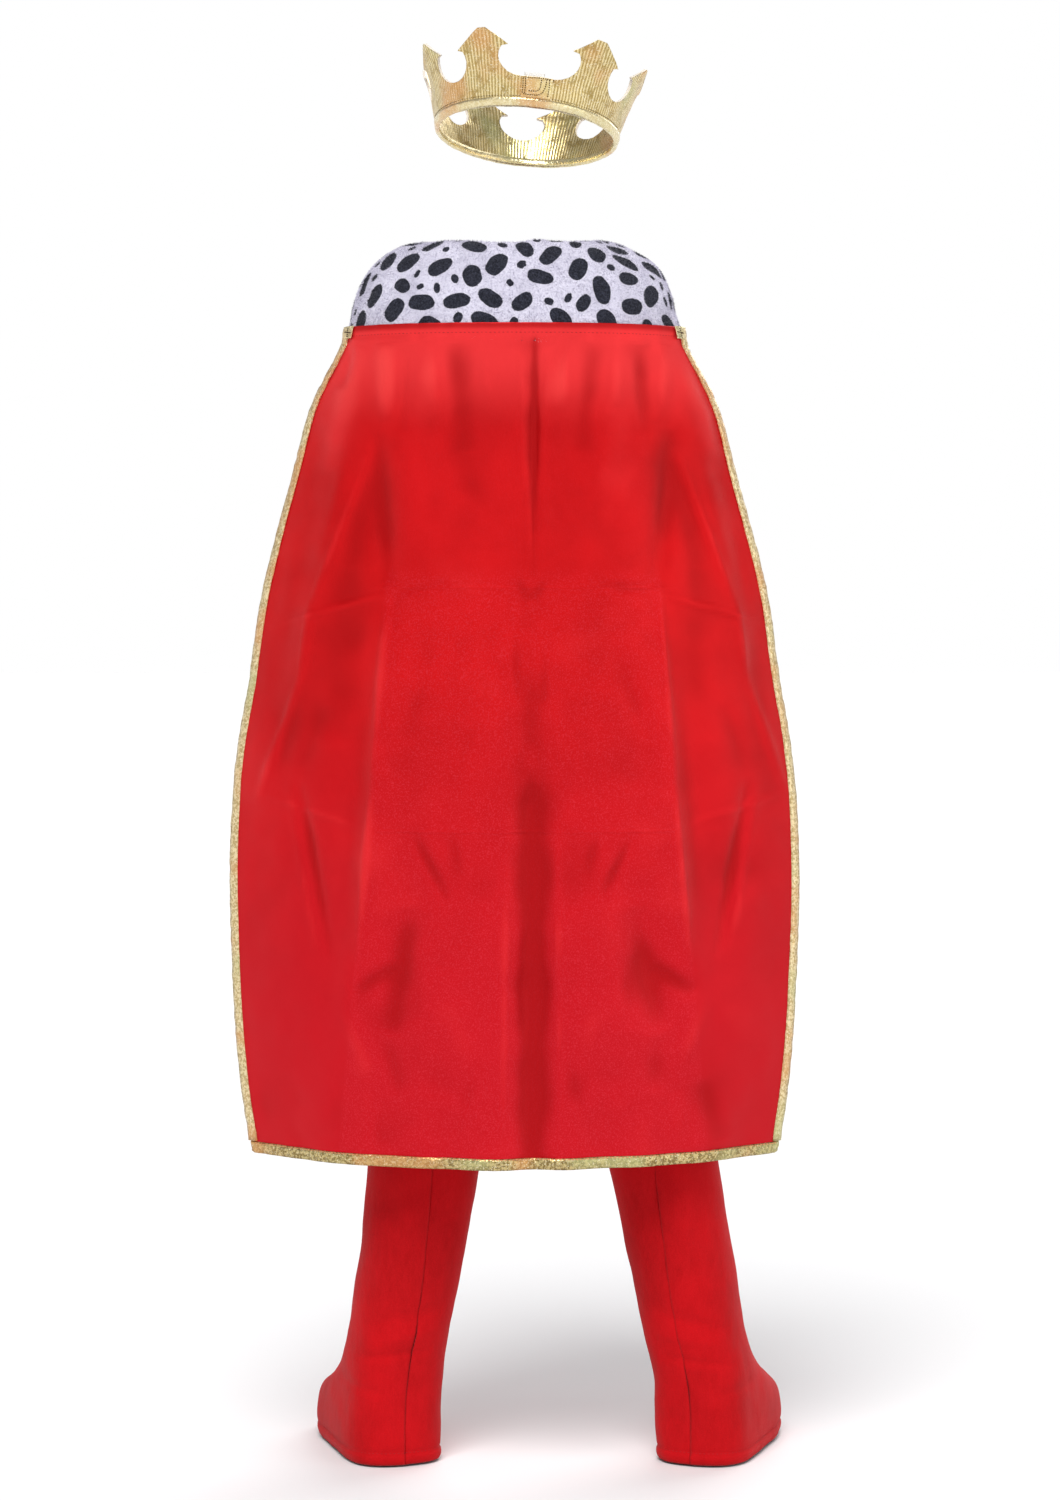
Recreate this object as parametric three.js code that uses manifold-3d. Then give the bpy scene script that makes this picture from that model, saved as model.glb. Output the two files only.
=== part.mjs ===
// A child's king costume as it is worn, hollow, with nobody in it: a soft crown, a spotted plush collar,
// a satin cape with gold trim, and a red suit whose legs end in boot covers.
// Millimetres. Heights are counted up from the floor; +X is the wearer's left and +Y the wearer's back.
import * as THREE from "three";
import { mergeVertices } from "three/addons/utils/BufferGeometryUtils.js";
import Module from "manifold-3d";

const wasm = await Module();
wasm.setup();

// Driving sizes of the whole costume
const HOLD_HEIGHT = 960; // the shoulders, which carry the costume: the origin lies between them
const SEAM_GAP = 0.3; // between two pieces that are sewn together
const LAY_GAP = 0.4; // between a piece and what lies on it
const SUIT_CLOTH = 2;
const COLLAR_CLOTH = 4; // plush, with its pile
const CAPE_CLOTH = 1.2;
const TRIM_CLOTH = 0.8;
const TRIM_WIDTH = 10;
const CROWN_CLOTH = 2.4; // lamé on foam

// Colours and finishes
const finish = (color, roughness, metalness = 0) =>
  new THREE.MeshStandardMaterial({ color, roughness, metalness });
const FINISHES = {
  suit: finish(0xb3121c, 0.85),
  satin: finish(0xc81522, 0.38),
  plush: finish(0xe9e6f0, 0.95),
  gold_trim: finish(0xc9a654, 0.38, 0.7),
  lame: finish(0xc8a24c, 0.42, 0.7),
  hook_tape: finish(0xeeeae4, 0.9),
};

const costume = new THREE.Group();
costume.position.z = -HOLD_HEIGHT;

function addPiece(name, geometry, slot) {
  const mesh = new THREE.Mesh(geometry, FINISHES[slot]);
  mesh.name = name;
  costume.add(mesh);
}

// Small tools for numbers and tables
const lerp = (a, b, share) => a + (b - a) * share;
const clamp01 = (value) => Math.min(1, Math.max(0, value));
const smooth = (share) => share * share * (3 - 2 * share);
const radians = THREE.MathUtils.degToRad;
const signedPower = (value, power) => Math.sign(value) * Math.abs(value) ** power;

// Reads one column of a table at a height between its rows, on a smooth curve through them.
function readTable(table, column, height) {
  const last = table.length - 1;
  const below = table.findIndex((row) => row.height <= height);
  if (below === 0) return table[0][column];
  if (below === -1) return table[last][column];
  const at = (index) => table[Math.min(last, Math.max(0, index))];
  const [upper, lower] = [at(below - 1), at(below)];
  const span = lower.height - upper.height;
  const slope = (a, b) => ((b[column] - a[column]) / (b.height - a.height)) * span;
  const share = (height - upper.height) / span;
  const start = slope(at(below - 2), lower);
  const end = slope(upper, at(below + 1));
  const rise = lower[column] - upper[column];
  const bend = 3 * rise - 2 * start - end;
  const turn = start + end - 2 * rise;
  return upper[column] + share * (start + share * (bend + share * turn));
}

// A point of a rounded oval with its own back and front depth, turned about its centre.
function ovalPoint(angle, { x, y, width, back, front, square = 2, turn = 0 }) {
  const across = width * signedPower(Math.cos(angle), 2 / square);
  const depth = Math.sin(angle) > 0 ? back : front;
  const along = depth * signedPower(Math.sin(angle), 2 / square);
  return new THREE.Vector3(
    x + across * Math.cos(turn) - along * Math.sin(turn),
    y + across * Math.sin(turn) + along * Math.cos(turn),
    0,
  );
}

// Normals of a grid of points, rows by columns. A closed grid's columns run on from the last to the first.
function gridNormals(points, closed, side) {
  const columns = points[0].length;
  const column = (index) =>
    closed ? (index + columns) % columns : Math.min(columns - 1, Math.max(0, index));
  return points.map((row, r) =>
    row.map((_, c) => {
      const above = points[Math.max(0, r - 1)][c];
      const below = points[Math.min(points.length - 1, r + 1)][c];
      const down = below.clone().sub(above);
      const across = row[column(c + 1)].clone().sub(row[column(c - 1)]);
      return across.cross(down).normalize().multiplyScalar(side);
    }),
  );
}

// Makes the normals of one row level, so that the wall's rim along a seam is level too.
function levelRow(normals, row) {
  normals[row].forEach((normal) => normal.setZ(0).normalize());
  return normals;
}

// Turns lists of corners, four or three to a face, into a closed geometry that faces outwards.
function geometryOf(vertices, faces) {
  const positions = vertices.flatMap((point) => point.toArray());
  let index = faces.flatMap(([a, b, c, d]) => (d === undefined ? [a, b, c] : [a, b, c, a, c, d]));
  let volume = 0;
  for (let i = 0; i < index.length; i += 3) {
    const [a, b, c] = index.slice(i, i + 3).map((v) => vertices[v]);
    volume += a.dot(b.clone().cross(c));
  }
  if (volume < 0) index = index.reverse();
  const geometry = new THREE.BufferGeometry();
  geometry.setAttribute("position", new THREE.Float32BufferAttribute(positions, 3));
  geometry.setIndex(index);
  return geometry;
}

// A wall of cloth between two grids of points, the outer face and the inner one.
function wallBetween(outer, inner, closed = false) {
  const rows = outer.length;
  const columns = outer[0].length;
  const vertices = [...outer.flat(), ...inner.flat()];
  const at = (layer, r, c) => layer * rows * columns + r * columns + (c % columns);
  const quads = [];
  const steps = closed ? columns : columns - 1;
  for (let c = 0; c < steps; c++) {
    for (let r = 0; r < rows - 1; r++) {
      quads.push([at(0, r, c), at(0, r, c + 1), at(0, r + 1, c + 1), at(0, r + 1, c)]);
      quads.push([at(1, r, c), at(1, r + 1, c), at(1, r + 1, c + 1), at(1, r, c + 1)]);
    }
    const end = rows - 1;
    quads.push([at(0, 0, c), at(1, 0, c), at(1, 0, c + 1), at(0, 0, c + 1)]);
    quads.push([at(0, end, c), at(0, end, c + 1), at(1, end, c + 1), at(1, end, c)]);
  }
  for (let r = 0; !closed && r < rows - 1; r++) {
    const end = columns - 1;
    quads.push([at(0, r, 0), at(0, r + 1, 0), at(1, r + 1, 0), at(1, r, 0)]);
    quads.push([at(0, r, end), at(1, r, end), at(1, r + 1, end), at(0, r + 1, end)]);
  }
  return geometryOf(vertices, quads);
}

const moved = (points, normals, distance) =>
  points.map((row, r) => row.map((p, c) => p.clone().addScaledVector(normals[r][c], distance)));

// Cuts a run of columns out of a grid for one panel, and draws its two side edges in by half a seam.
function panelColumns(grid, from, to) {
  return grid.map((row) => {
    const run = [];
    for (let c = from; c <= to; c++) run.push(row[c % row.length].clone());
    const drawIn = (edge, next) => {
      const step = next.clone().sub(edge);
      edge.addScaledVector(step, SEAM_GAP / 2 / step.length());
    };
    drawIn(run[0], run[1]);
    drawIn(run[run.length - 1], run[run.length - 2]);
    return run;
  });
}

// Manifold solids, for cutting one shape out of another
function solidOf(geometry) {
  const bare = geometry.clone();
  bare.deleteAttribute("normal");
  bare.deleteAttribute("uv");
  const merged = mergeVertices(bare, 1e-4);
  return new wasm.Manifold(
    new wasm.Mesh({
      numProp: 3,
      vertProperties: merged.attributes.position.array,
      triVerts: new Uint32Array(merged.index.array),
    }),
  );
}

function geometryFrom(solid) {
  const mesh = solid.getMesh();
  const geometry = new THREE.BufferGeometry();
  geometry.setAttribute("position", new THREE.BufferAttribute(mesh.vertProperties, 3));
  geometry.setIndex(new THREE.BufferAttribute(mesh.triVerts, 1));
  return geometry;
}

const cutFrom = (geometry, cutters) =>
  geometryFrom(cutters.reduce((solid, cutter) => solid.subtract(solidOf(cutter)), solidOf(geometry)));

// A closed prism between two rings with the same number of points.
function prismBetween(ringA, ringB) {
  const count = ringA.length;
  const middle = (ring) =>
    ring.reduce((sum, point) => sum.add(point), new THREE.Vector3()).divideScalar(count);
  const vertices = [...ringA, ...ringB, middle(ringA), middle(ringB)];
  const faces = [];
  for (let i = 0; i < count; i++) {
    const next = (i + 1) % count;
    faces.push([i, next, count + next, count + i]);
    faces.push([2 * count, next, i], [2 * count + 1, count + i, count + next]);
  }
  return geometryOf(vertices, faces);
}

// The suit's body, from the neckline to the crotch. Each row is a ring round the torso.
const CROTCH = 505;
const HIP_SHIFT = -18; // the hips stand a little to the wearer's right of the shoulders
const TORSO_COLUMNS = 40; // column 0 is the left side seam, and a quarter of them on is the centre back
const TORSO = [
  { height: 1001, back: 1004, front: 984, width: 57, backDepth: 52, frontDepth: 52 },
  { height: 994, back: 1000, front: 976, width: 72, backDepth: 62, frontDepth: 62 },
  { height: 982, back: 990, front: 962, width: 90, backDepth: 74, frontDepth: 74 },
  { height: 966, back: 972, front: 945, width: 98.5, backDepth: 82, frontDepth: 82 },
  { height: 930, back: 935, front: 915, width: 99, backDepth: 86, frontDepth: 86 },
  { height: 880, back: 880, front: 870, width: 98, backDepth: 87, frontDepth: 89 },
  { height: 810, back: 810, front: 805, width: 97, backDepth: 84, frontDepth: 88 },
  { height: 740, back: 740, front: 740, width: 97, backDepth: 82, frontDepth: 87 },
  { height: 640, back: 640, front: 640, width: 107, backDepth: 90, frontDepth: 89 },
  { height: 560, back: 560, front: 560, width: 113, backDepth: 92, frontDepth: 86 },
  { height: CROTCH, back: CROTCH, front: CROTCH, width: 115, backDepth: 90, frontDepth: 82 },
];
const TORSO_SQUARE = 2.3;
const LEAN_TOP = 950; // above this height the body stands upright

const leanAt = (height) => HIP_SHIFT * clamp01((LEAN_TOP - height) / (LEAN_TOP - CROTCH));

function torsoRing(row, lift = 0) {
  return Array.from({ length: TORSO_COLUMNS }, (_, c) => {
    const angle = (c / TORSO_COLUMNS) * 2 * Math.PI;
    const point = ovalPoint(angle, {
      x: leanAt(row.height),
      y: 0,
      width: row.width,
      back: row.backDepth,
      front: row.frontDepth,
      square: TORSO_SQUARE,
    });
    const far = Math.sin(angle) > 0 ? row.back : row.front;
    point.z = lerp(row.height, far, Math.sin(angle) ** 2) + lift;
    return point;
  });
}

// The sleeves: rings that fan round the armpit and then run down the arm, outwards and a little forwards.
// Each row gives the ring's inner and outer point in the plane of the shoulders, and its depth.
const SLEEVE_COLUMNS = 16;
const ARM_DROP = 307; // from the top of the arm to the cuff
const SLEEVE_CAP = [
  { innerX: 91, innerZ: 888, outerX: 91, outerZ: 972, depth: 36 },
  { innerX: 99.8, innerZ: 888, outerX: 99.8, outerZ: 972, depth: 36 },
  { innerX: 102, innerZ: 887, outerX: 128, outerZ: 945, depth: 36 },
  { innerX: 103, innerZ: 885, outerX: 146, outerZ: 922, depth: 36 },
  { innerX: 104, innerZ: 880, outerX: 161, outerZ: 893, depth: 35.5 },
];
const ARM = [
  { drop: 60, radius: 30.5, depth: 35, forward: 1 },
  { drop: 140, radius: 30.5, depth: 34, forward: 4 },
  { drop: 200, radius: 30, depth: 32, forward: 9 },
  { drop: 260, radius: 29, depth: 30, forward: 16 },
  { drop: ARM_DROP, radius: 28, depth: 29, forward: 22 },
];
const ARM_SLOPE = 0.22; // outwards for each millimetre down
const ARM_START = { x: 132.5, z: 886.5 };

function sleeveRings(side) {
  const rows = [...SLEEVE_CAP];
  const tilt = Math.atan(ARM_SLOPE);
  for (const { drop, radius, depth, forward } of ARM) {
    const x = ARM_START.x + drop * ARM_SLOPE;
    const z = ARM_START.z - drop;
    const reach = { x: radius * Math.cos(tilt), z: radius * Math.sin(tilt) };
    const ends = { innerX: x - reach.x, innerZ: z - reach.z, outerX: x + reach.x, outerZ: z + reach.z };
    rows.push({ ...ends, depth, forward });
  }
  return rows.map((row) =>
    Array.from({ length: SLEEVE_COLUMNS }, (_, c) => {
      const angle = (c / SLEEVE_COLUMNS) * 2 * Math.PI;
      const share = (1 + Math.cos(angle)) / 2;
      const x = lerp(row.innerX, row.outerX, share);
      const z = lerp(row.innerZ, row.outerZ, share);
      return new THREE.Vector3(side * x, row.depth * Math.sin(angle) - (row.forward ?? 0), z);
    }),
  );
}

// The armhole is the sleeve's first ring, a seam wider, run through the side of the body.
const ARMHOLE_END = 125;

function armholeCutter(side) {
  const ring = sleeveRings(side)[0];
  const middle = new THREE.Vector3(0, 0, (SLEEVE_CAP[0].innerZ + SLEEVE_CAP[0].outerZ) / 2);
  const widened = ring.map((point) => {
    const out = new THREE.Vector3(0, point.y, point.z - middle.z);
    return point.clone().addScaledVector(out.normalize(), LAY_GAP);
  });
  const atX = (x) => widened.map((point) => new THREE.Vector3(side * x, point.y, point.z));
  return prismBetween(atX(60), atX(ARMHOLE_END));
}

function addBody() {
  const rings = TORSO.map((row, r) => torsoRing(row, r === TORSO.length - 1 ? SEAM_GAP : 0));
  const normals = levelRow(gridNormals(rings, true, -1), rings.length - 1);
  const inner = moved(rings, normals, -SUIT_CLOTH);
  const quarter = TORSO_COLUMNS / 4;
  const panels = [
    { name: "suit_front", from: 2 * quarter, to: 4 * quarter, sleeves: [-1, 1] },
    { name: "suit_back_left", from: 0, to: quarter, sleeves: [1] },
    { name: "suit_back_right", from: quarter, to: 2 * quarter, sleeves: [-1] },
  ];
  for (const { name, from, to, sleeves } of panels) {
    const wall = wallBetween(panelColumns(rings, from, to), panelColumns(inner, from, to));
    addPiece(name, cutFrom(wall, sleeves.map(armholeCutter)), "suit");
  }
}

// Each sleeve has a top half over the shoulder and a half under the arm, with seams at its front and back.
function addSleeves() {
  const quarter = SLEEVE_COLUMNS / 4;
  for (const [name, side] of [["sleeve_left", 1], ["sleeve_right", -1]]) {
    const rings = sleeveRings(side);
    const inner = moved(rings, gridNormals(rings, true, -side), -SUIT_CLOTH);
    const halves = [
      { half: "top", from: 3 * quarter, to: 5 * quarter },
      { half: "under", from: quarter, to: 3 * quarter },
    ];
    for (const { half, from, to } of halves) {
      const wall = wallBetween(panelColumns(rings, from, to), panelColumns(inner, from, to));
      addPiece(`${name}_${half}`, wall, "suit");
    }
  }
}

// The legs and boot covers, one run of rings from the crotch to the floor.
// left and right are the ring's centre; toe and heel are its reach, turned out with the foot.
const LEG_COLUMNS = 24; // a quarter of them on is the centre back, and three quarters the centre front
const FOOT_TURN = { left: 19, right: 21 };
const TURN_TOP = 420; // the leg turns out below this height
const TURN_END = 100;
const THIGH_ROUND = 440; // the half of the crotch ring has become a round thigh here
const LEG = [
  { height: CROTCH, left: 39.5, right: -75.5, y: 0, width: 57.5, heel: 90, toe: 82, square: 2.2 },
  { height: 475, left: 46, right: -83, y: 0, width: 57, heel: 79, toe: 74, square: 2.2 },
  { height: THIGH_ROUND, left: 52, right: -90, y: -1, width: 55, heel: 70, toe: 68, square: 2.2 },
  { height: 380, left: 60, right: -101, y: -4, width: 52, heel: 60, toe: 60, square: 2.1 },
  { height: 315, left: 68.5, right: -113, y: -8, width: 49, heel: 54, toe: 54, square: 2.1 },
  { height: 247, left: 77, right: -127, y: -12, width: 47, heel: 49, toe: 50, square: 2.1 },
  { height: 180, left: 86, right: -139, y: -16, width: 45.5, heel: 46, toe: 49, square: 2.1 },
  { height: 125, left: 94, right: -148, y: -19, width: 43, heel: 44, toe: 50, square: 2.2 },
  { height: 98, left: 99, right: -154, y: -20, width: 41.5, heel: 43, toe: 53, square: 2.3 },
  { height: 80, left: 102, right: -158, y: -20, width: 41, heel: 43, toe: 62, square: 2.4 },
  { height: 66, left: 103.5, right: -160.5, y: -19, width: 40.5, heel: 42, toe: 80, square: 2.5 },
  { height: 56, left: 104.5, right: -161.5, y: -18, width: 40.5, heel: 42, toe: 106, square: 2.6 },
  { height: 46, left: 105, right: -162, y: -17, width: 41, heel: 42, toe: 134, square: 2.6 },
  { height: 34, left: 105.5, right: -162.5, y: -17, width: 41.5, heel: 42, toe: 150, square: 2.6 },
  { height: 16, left: 105.5, right: -162.5, y: -16, width: 41.5, heel: 42.5, toe: 156, square: 2.6 },
  { height: 0, left: 105, right: -162, y: -15, width: 39, heel: 40, toe: 151, square: 2.6 },
];

function legRing(row, leg) {
  const side = leg === "left" ? 1 : -1;
  const turned = smooth(clamp01((TURN_TOP - row.height) / (TURN_TOP - TURN_END)));
  const turn = side * radians(FOOT_TURN[leg]) * turned;
  const round = smooth(clamp01((CROTCH - row.height) / (CROTCH - THIGH_ROUND)));
  const hipEdge = HIP_SHIFT + (side * SEAM_GAP) / 2;
  return Array.from({ length: LEG_COLUMNS }, (_, c) => {
    const angle = (c / LEG_COLUMNS) * 2 * Math.PI;
    const oval = { y: row.y, width: row.width, back: row.heel, front: row.toe, square: row.square };
    const point = ovalPoint(angle, { ...oval, x: row[leg], turn });
    const outward = side * Math.cos(angle) >= -1e-9;
    const hip = ovalPoint(angle, { ...oval, x: HIP_SHIFT, width: 2 * row.width, square: TORSO_SQUARE });
    const half = outward ? hip : new THREE.Vector3(hipEdge, hip.y, 0);
    if (side * (half.x - hipEdge) < 0) half.x = hipEdge;
    point.lerp(half, 1 - round);
    point.z = row.height;
    return point;
  });
}

function addLegs() {
  const quarter = LEG_COLUMNS / 4;
  for (const leg of ["left", "right"]) {
    const rings = LEG.map((row) => legRing(row, leg));
    const normals = levelRow(gridNormals(rings, true, -1), 0);
    const inner = moved(rings, normals, -SUIT_CLOTH);
    const halves = [
      { name: "plus_x", from: 3 * quarter, to: 5 * quarter },
      { name: "minus_x", from: quarter, to: 3 * quarter },
    ];
    for (const { name, from, to } of halves) {
      const outside = (leg === "left") === (name === "plus_x");
      const piece = `leg_${leg}_${outside ? "outer" : "inner"}`;
      const wall = wallBetween(panelColumns(rings, from, to), panelColumns(inner, from, to));
      addPiece(piece, wall, "suit");
    }
  }
}

// The collar: it stands up from the neckline, rolls over and falls on the shoulders.
// Each row is a ring round the neck, from the neck seam to the outer edge, with its own heights.
const COLLAR_COLUMNS = 42;
const COLLAR_OPENING = 3; // half the angle of the gap at the centre front, in degrees
const COLLAR = [
  { sideX: 57, sideZ: 1001.8, backY: 52, backZ: 1004.8, frontY: 52, frontZ: 984.8, square: 2.3 },
  { sideX: 60, sideZ: 1016, backY: 55, backZ: 1015, frontY: 56, frontZ: 998, square: 2.1 },
  { sideX: 72, sideZ: 1026.5, backY: 63, backZ: 1022, frontY: 65, frontZ: 1005, square: 2.2 },
  { sideX: 99, sideZ: 1018, backY: 76, backZ: 1013, frontY: 80, frontZ: 996, square: 2.3 },
  { sideX: 121, sideZ: 1004, backY: 88, backZ: 995, frontY: 93, frontZ: 978, square: 2.4 },
  { sideX: 132, sideZ: 984, backY: 97, backZ: 973, frontY: 102, frontZ: 953, square: 2.4 },
  { sideX: 136, sideZ: 962, backY: 102, backZ: 954, frontY: 107, frontZ: 930, square: 2.4 },
  { sideX: 141, sideZ: 941, backY: 104, backZ: 936, frontY: 110, frontZ: 906, square: 2.4 },
];

function collarPoint(row, angle) {
  const oval = { x: 0, y: 0, width: row.sideX, back: row.backY, front: row.frontY, square: row.square };
  const point = ovalPoint(angle, oval);
  const far = Math.sin(angle) > 0 ? row.backZ : row.frontZ;
  point.z = lerp(row.sideZ, far, Math.sin(angle) ** 2);
  return point;
}

function addCollar() {
  const first = radians(-90 + COLLAR_OPENING);
  const last = radians(270 - COLLAR_OPENING);
  const rings = COLLAR.map((row) =>
    Array.from({ length: COLLAR_COLUMNS + 1 }, (_, c) =>
      collarPoint(row, lerp(first, last, c / COLLAR_COLUMNS)),
    ),
  );
  const normals = levelRow(gridNormals(rings, false, -1), 0);
  const inner = moved(rings, normals, -COLLAR_CLOTH);
  addPiece("collar", wallBetween(rings, inner), "plush");
}

// The cape. Each row gives the line across it at one height: how far its edges stand apart and how far
// they come forwards, and how sharply the flat back turns into the sides.
const CAPE_TOP = 951;
const HEM = 262;
const CAPE = [
  { height: CAPE_TOP, edgeX: 142, edgeY: 20, backY: 105.5, turn: 3 },
  { height: 909, edgeX: 164, edgeY: 17, backY: 106, turn: 2.7 },
  { height: 843, edgeX: 181, edgeY: 10, backY: 106, turn: 2.5 },
  { height: 777, edgeX: 199.5, edgeY: 6, backY: 106, turn: 2.5 },
  { height: 709, edgeX: 215.5, edgeY: 2, backY: 107, turn: 2.5 },
  { height: 670, edgeX: 219, edgeY: -1, backY: 109, turn: 2.5 },
  { height: 609, edgeX: 231, edgeY: -4, backY: 110, turn: 2.5 },
  { height: 541, edgeX: 237.5, edgeY: -4, backY: 111, turn: 2.4 },
  { height: 475, edgeX: 238.5, edgeY: -3, backY: 111, turn: 2.3 },
  { height: 374, edgeX: 234.5, edgeY: 0, backY: 111, turn: 2.2 },
  { height: 306, edgeX: 228.5, edgeY: 0, backY: 111, turn: 2.1 },
  { height: HEM, edgeX: 220.5, edgeY: 0, backY: 111, turn: 2 },
];
const COLLAR_EDGE = 936; // the cape lies on the collar down to here, and its folds begin below
const CAPE_FREE = 895; // and it hangs free from here
const FOLDS_RISE = 25; // and reach their full depth this far down
const CAPE_ROWS = 21;
const CAPE_COLUMNS = 40;
const PATCH_ON_SATIN = 0.5; // how far a corner square reaches over the satin's outer column
const PATCH_ON_TRIM = 0.6; // and over the trim's width
const FOLD_MIDDLE = -8; // the folds lie mirrored about this line, a little right of centre

// Folds run from one point of the cape to another. depth is inwards, so a ridge has a negative one.
const FOLDS = [
  { fromX: 0, fromZ: 945, toX: 0, toZ: 745, half: 7, depth: 4, shift: -8 },
  { fromX: 0, fromZ: 668, toX: 0, toZ: 190, half: 17, depth: 11, shift: -8 },
  { fromX: 93, fromZ: 930, toX: 77, toZ: 790, half: 10, depth: 4.5, mirrored: true },
  { fromX: 62, fromZ: 930, toX: 22, toZ: 800, half: 11, depth: 4, mirrored: true },
  { fromX: 118, fromZ: 945, toX: 212, toZ: 560, half: 9, depth: -5, mirrored: true },
  { fromX: 126, fromZ: 860, toX: 104, toZ: 690, half: 13, depth: 6.5, mirrored: true },
  { fromX: 104, fromZ: 745, toX: 145, toZ: 360, half: 12, depth: -4, mirrored: true },
  { fromX: 126, fromZ: 720, toX: 162, toZ: 400, half: 13, depth: 6, mirrored: true },
  { fromX: 190, fromZ: 580, toX: 160, toZ: 420, half: 9, depth: 5, mirrored: true },
  { fromX: 90, fromZ: 500, toX: 118, toZ: 370, half: 16, depth: 7, mirrored: true },
  { fromX: 62, fromZ: 330, toX: 70, toZ: 210, half: 18, depth: 5, mirrored: true },
  { fromX: 150, fromZ: 350, toX: 158, toZ: 200, half: 20, depth: -5, mirrored: true },
];

// How far the folds draw the cape inwards at a place on it.
function foldDepth(x, height) {
  let depth = 0;
  for (const fold of FOLDS) {
    const share = (fold.fromZ - height) / (fold.fromZ - fold.toZ);
    if (share <= 0 || share >= 1) continue;
    const fade = Math.sin(Math.PI * share) ** 0.7;
    for (const side of fold.mirrored ? [-1, 1] : [1]) {
      const middle = FOLD_MIDDLE + (fold.shift ?? 0) + side * lerp(fold.fromX, fold.toX, share);
      depth += fold.depth * fade * Math.exp(-(((x - middle) / fold.half) ** 2));
    }
  }
  return depth;
}

// The collar's outer face at a height, as a line from the centre back to the cape's corner. Below the
// collar's edge the line is that of the edge itself.
const CORNER_ANGLE = 19; // in degrees, from the wearer's side
const CORNER_STAND = 6; // the cape's corners stand off the collar by this much
const LINE_STEPS = 90;

function collarLine(height) {
  const [above, below] = COLLAR.slice(-2);
  const onCollar = (angle) => {
    const [upper, lower] = [collarPoint(above, angle), collarPoint(below, angle)];
    return upper.clone().lerp(lower, clamp01((upper.z - height) / (upper.z - lower.z)));
  };
  return Array.from({ length: LINE_STEPS + 1 }, (_, i) => {
    const angle = radians(lerp(90, CORNER_ANGLE, i / LINE_STEPS));
    const point = onCollar(angle);
    const step = onCollar(angle - 0.01).sub(onCollar(angle + 0.01)).setZ(0).normalize();
    const stand = LAY_GAP + CAPE_CLOTH + CORNER_STAND * (i / LINE_STEPS) ** 3;
    return new THREE.Vector2(point.x - step.y * stand, point.y + step.x * stand);
  });
}

// The line the free cape hangs in at a height, from the centre back to its edge.
function hangingLine(height) {
  const [edgeX, edgeY, backY, turn] = ["edgeX", "edgeY", "backY", "turn"].map((column) =>
    readTable(CAPE, column, height),
  );
  return Array.from({ length: LINE_STEPS + 1 }, (_, i) => {
    const across = Math.sin((i / LINE_STEPS) * (Math.PI / 2));
    return new THREE.Vector2(edgeX * across, backY - (backY - edgeY) * across ** turn);
  });
}

function capeLine(height) {
  const [sewn, free] = [collarLine(height), hangingLine(height)];
  const share = smooth(clamp01((COLLAR_EDGE - height) / (COLLAR_EDGE - CAPE_FREE)));
  return sewn.map((point, i) => point.lerp(free[i], share));
}

// Points at given distances from the centre back, measured along the line across the cape.
function capeRow(height, distances) {
  const line = capeLine(height);
  const lengths = [0];
  line.slice(1).forEach((point, i) => lengths.push(lengths[i] + point.distanceTo(line[i])));
  const whole = lengths[LINE_STEPS];
  const folded = smooth(clamp01((COLLAR_EDGE - height) / FOLDS_RISE));
  return distances(whole).map((signed) => {
    const distance = Math.min(Math.abs(signed), whole);
    const next = Math.max(1, lengths.findIndex((length) => length >= distance - 1e-9));
    const share = (distance - lengths[next - 1]) / (lengths[next] - lengths[next - 1]);
    const point = line[next - 1].clone().lerp(line[next], share);
    const step = line[next].clone().sub(line[next - 1]).normalize();
    const side = Math.sign(signed) || 1;
    const inwards = foldDepth(side * point.x, height) * folded;
    return new THREE.Vector3(
      side * (point.x + step.y * inwards),
      point.y - step.x * inwards,
      height,
    );
  });
}

// Column places: one at each edge, one a trim's width in, and the rest between, closer at the middle.
function capeDistances(whole) {
  const inside = CAPE_COLUMNS - 2;
  const between = Array.from({ length: inside + 1 }, (_, i) => {
    const place = (2 * i) / inside - 1;
    return (whole - TRIM_WIDTH) * place * (0.78 + 0.22 * place * place);
  });
  return [-whole, ...between, whole];
}

function capeHeights() {
  const between = Array.from({ length: CAPE_ROWS }, (_, r) =>
    lerp(COLLAR_EDGE - 2, HEM + TRIM_WIDTH, (r / (CAPE_ROWS - 1)) ** 1.08),
  );
  return [CAPE_TOP, CAPE_TOP - TRIM_WIDTH, ...between, HEM];
}

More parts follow.
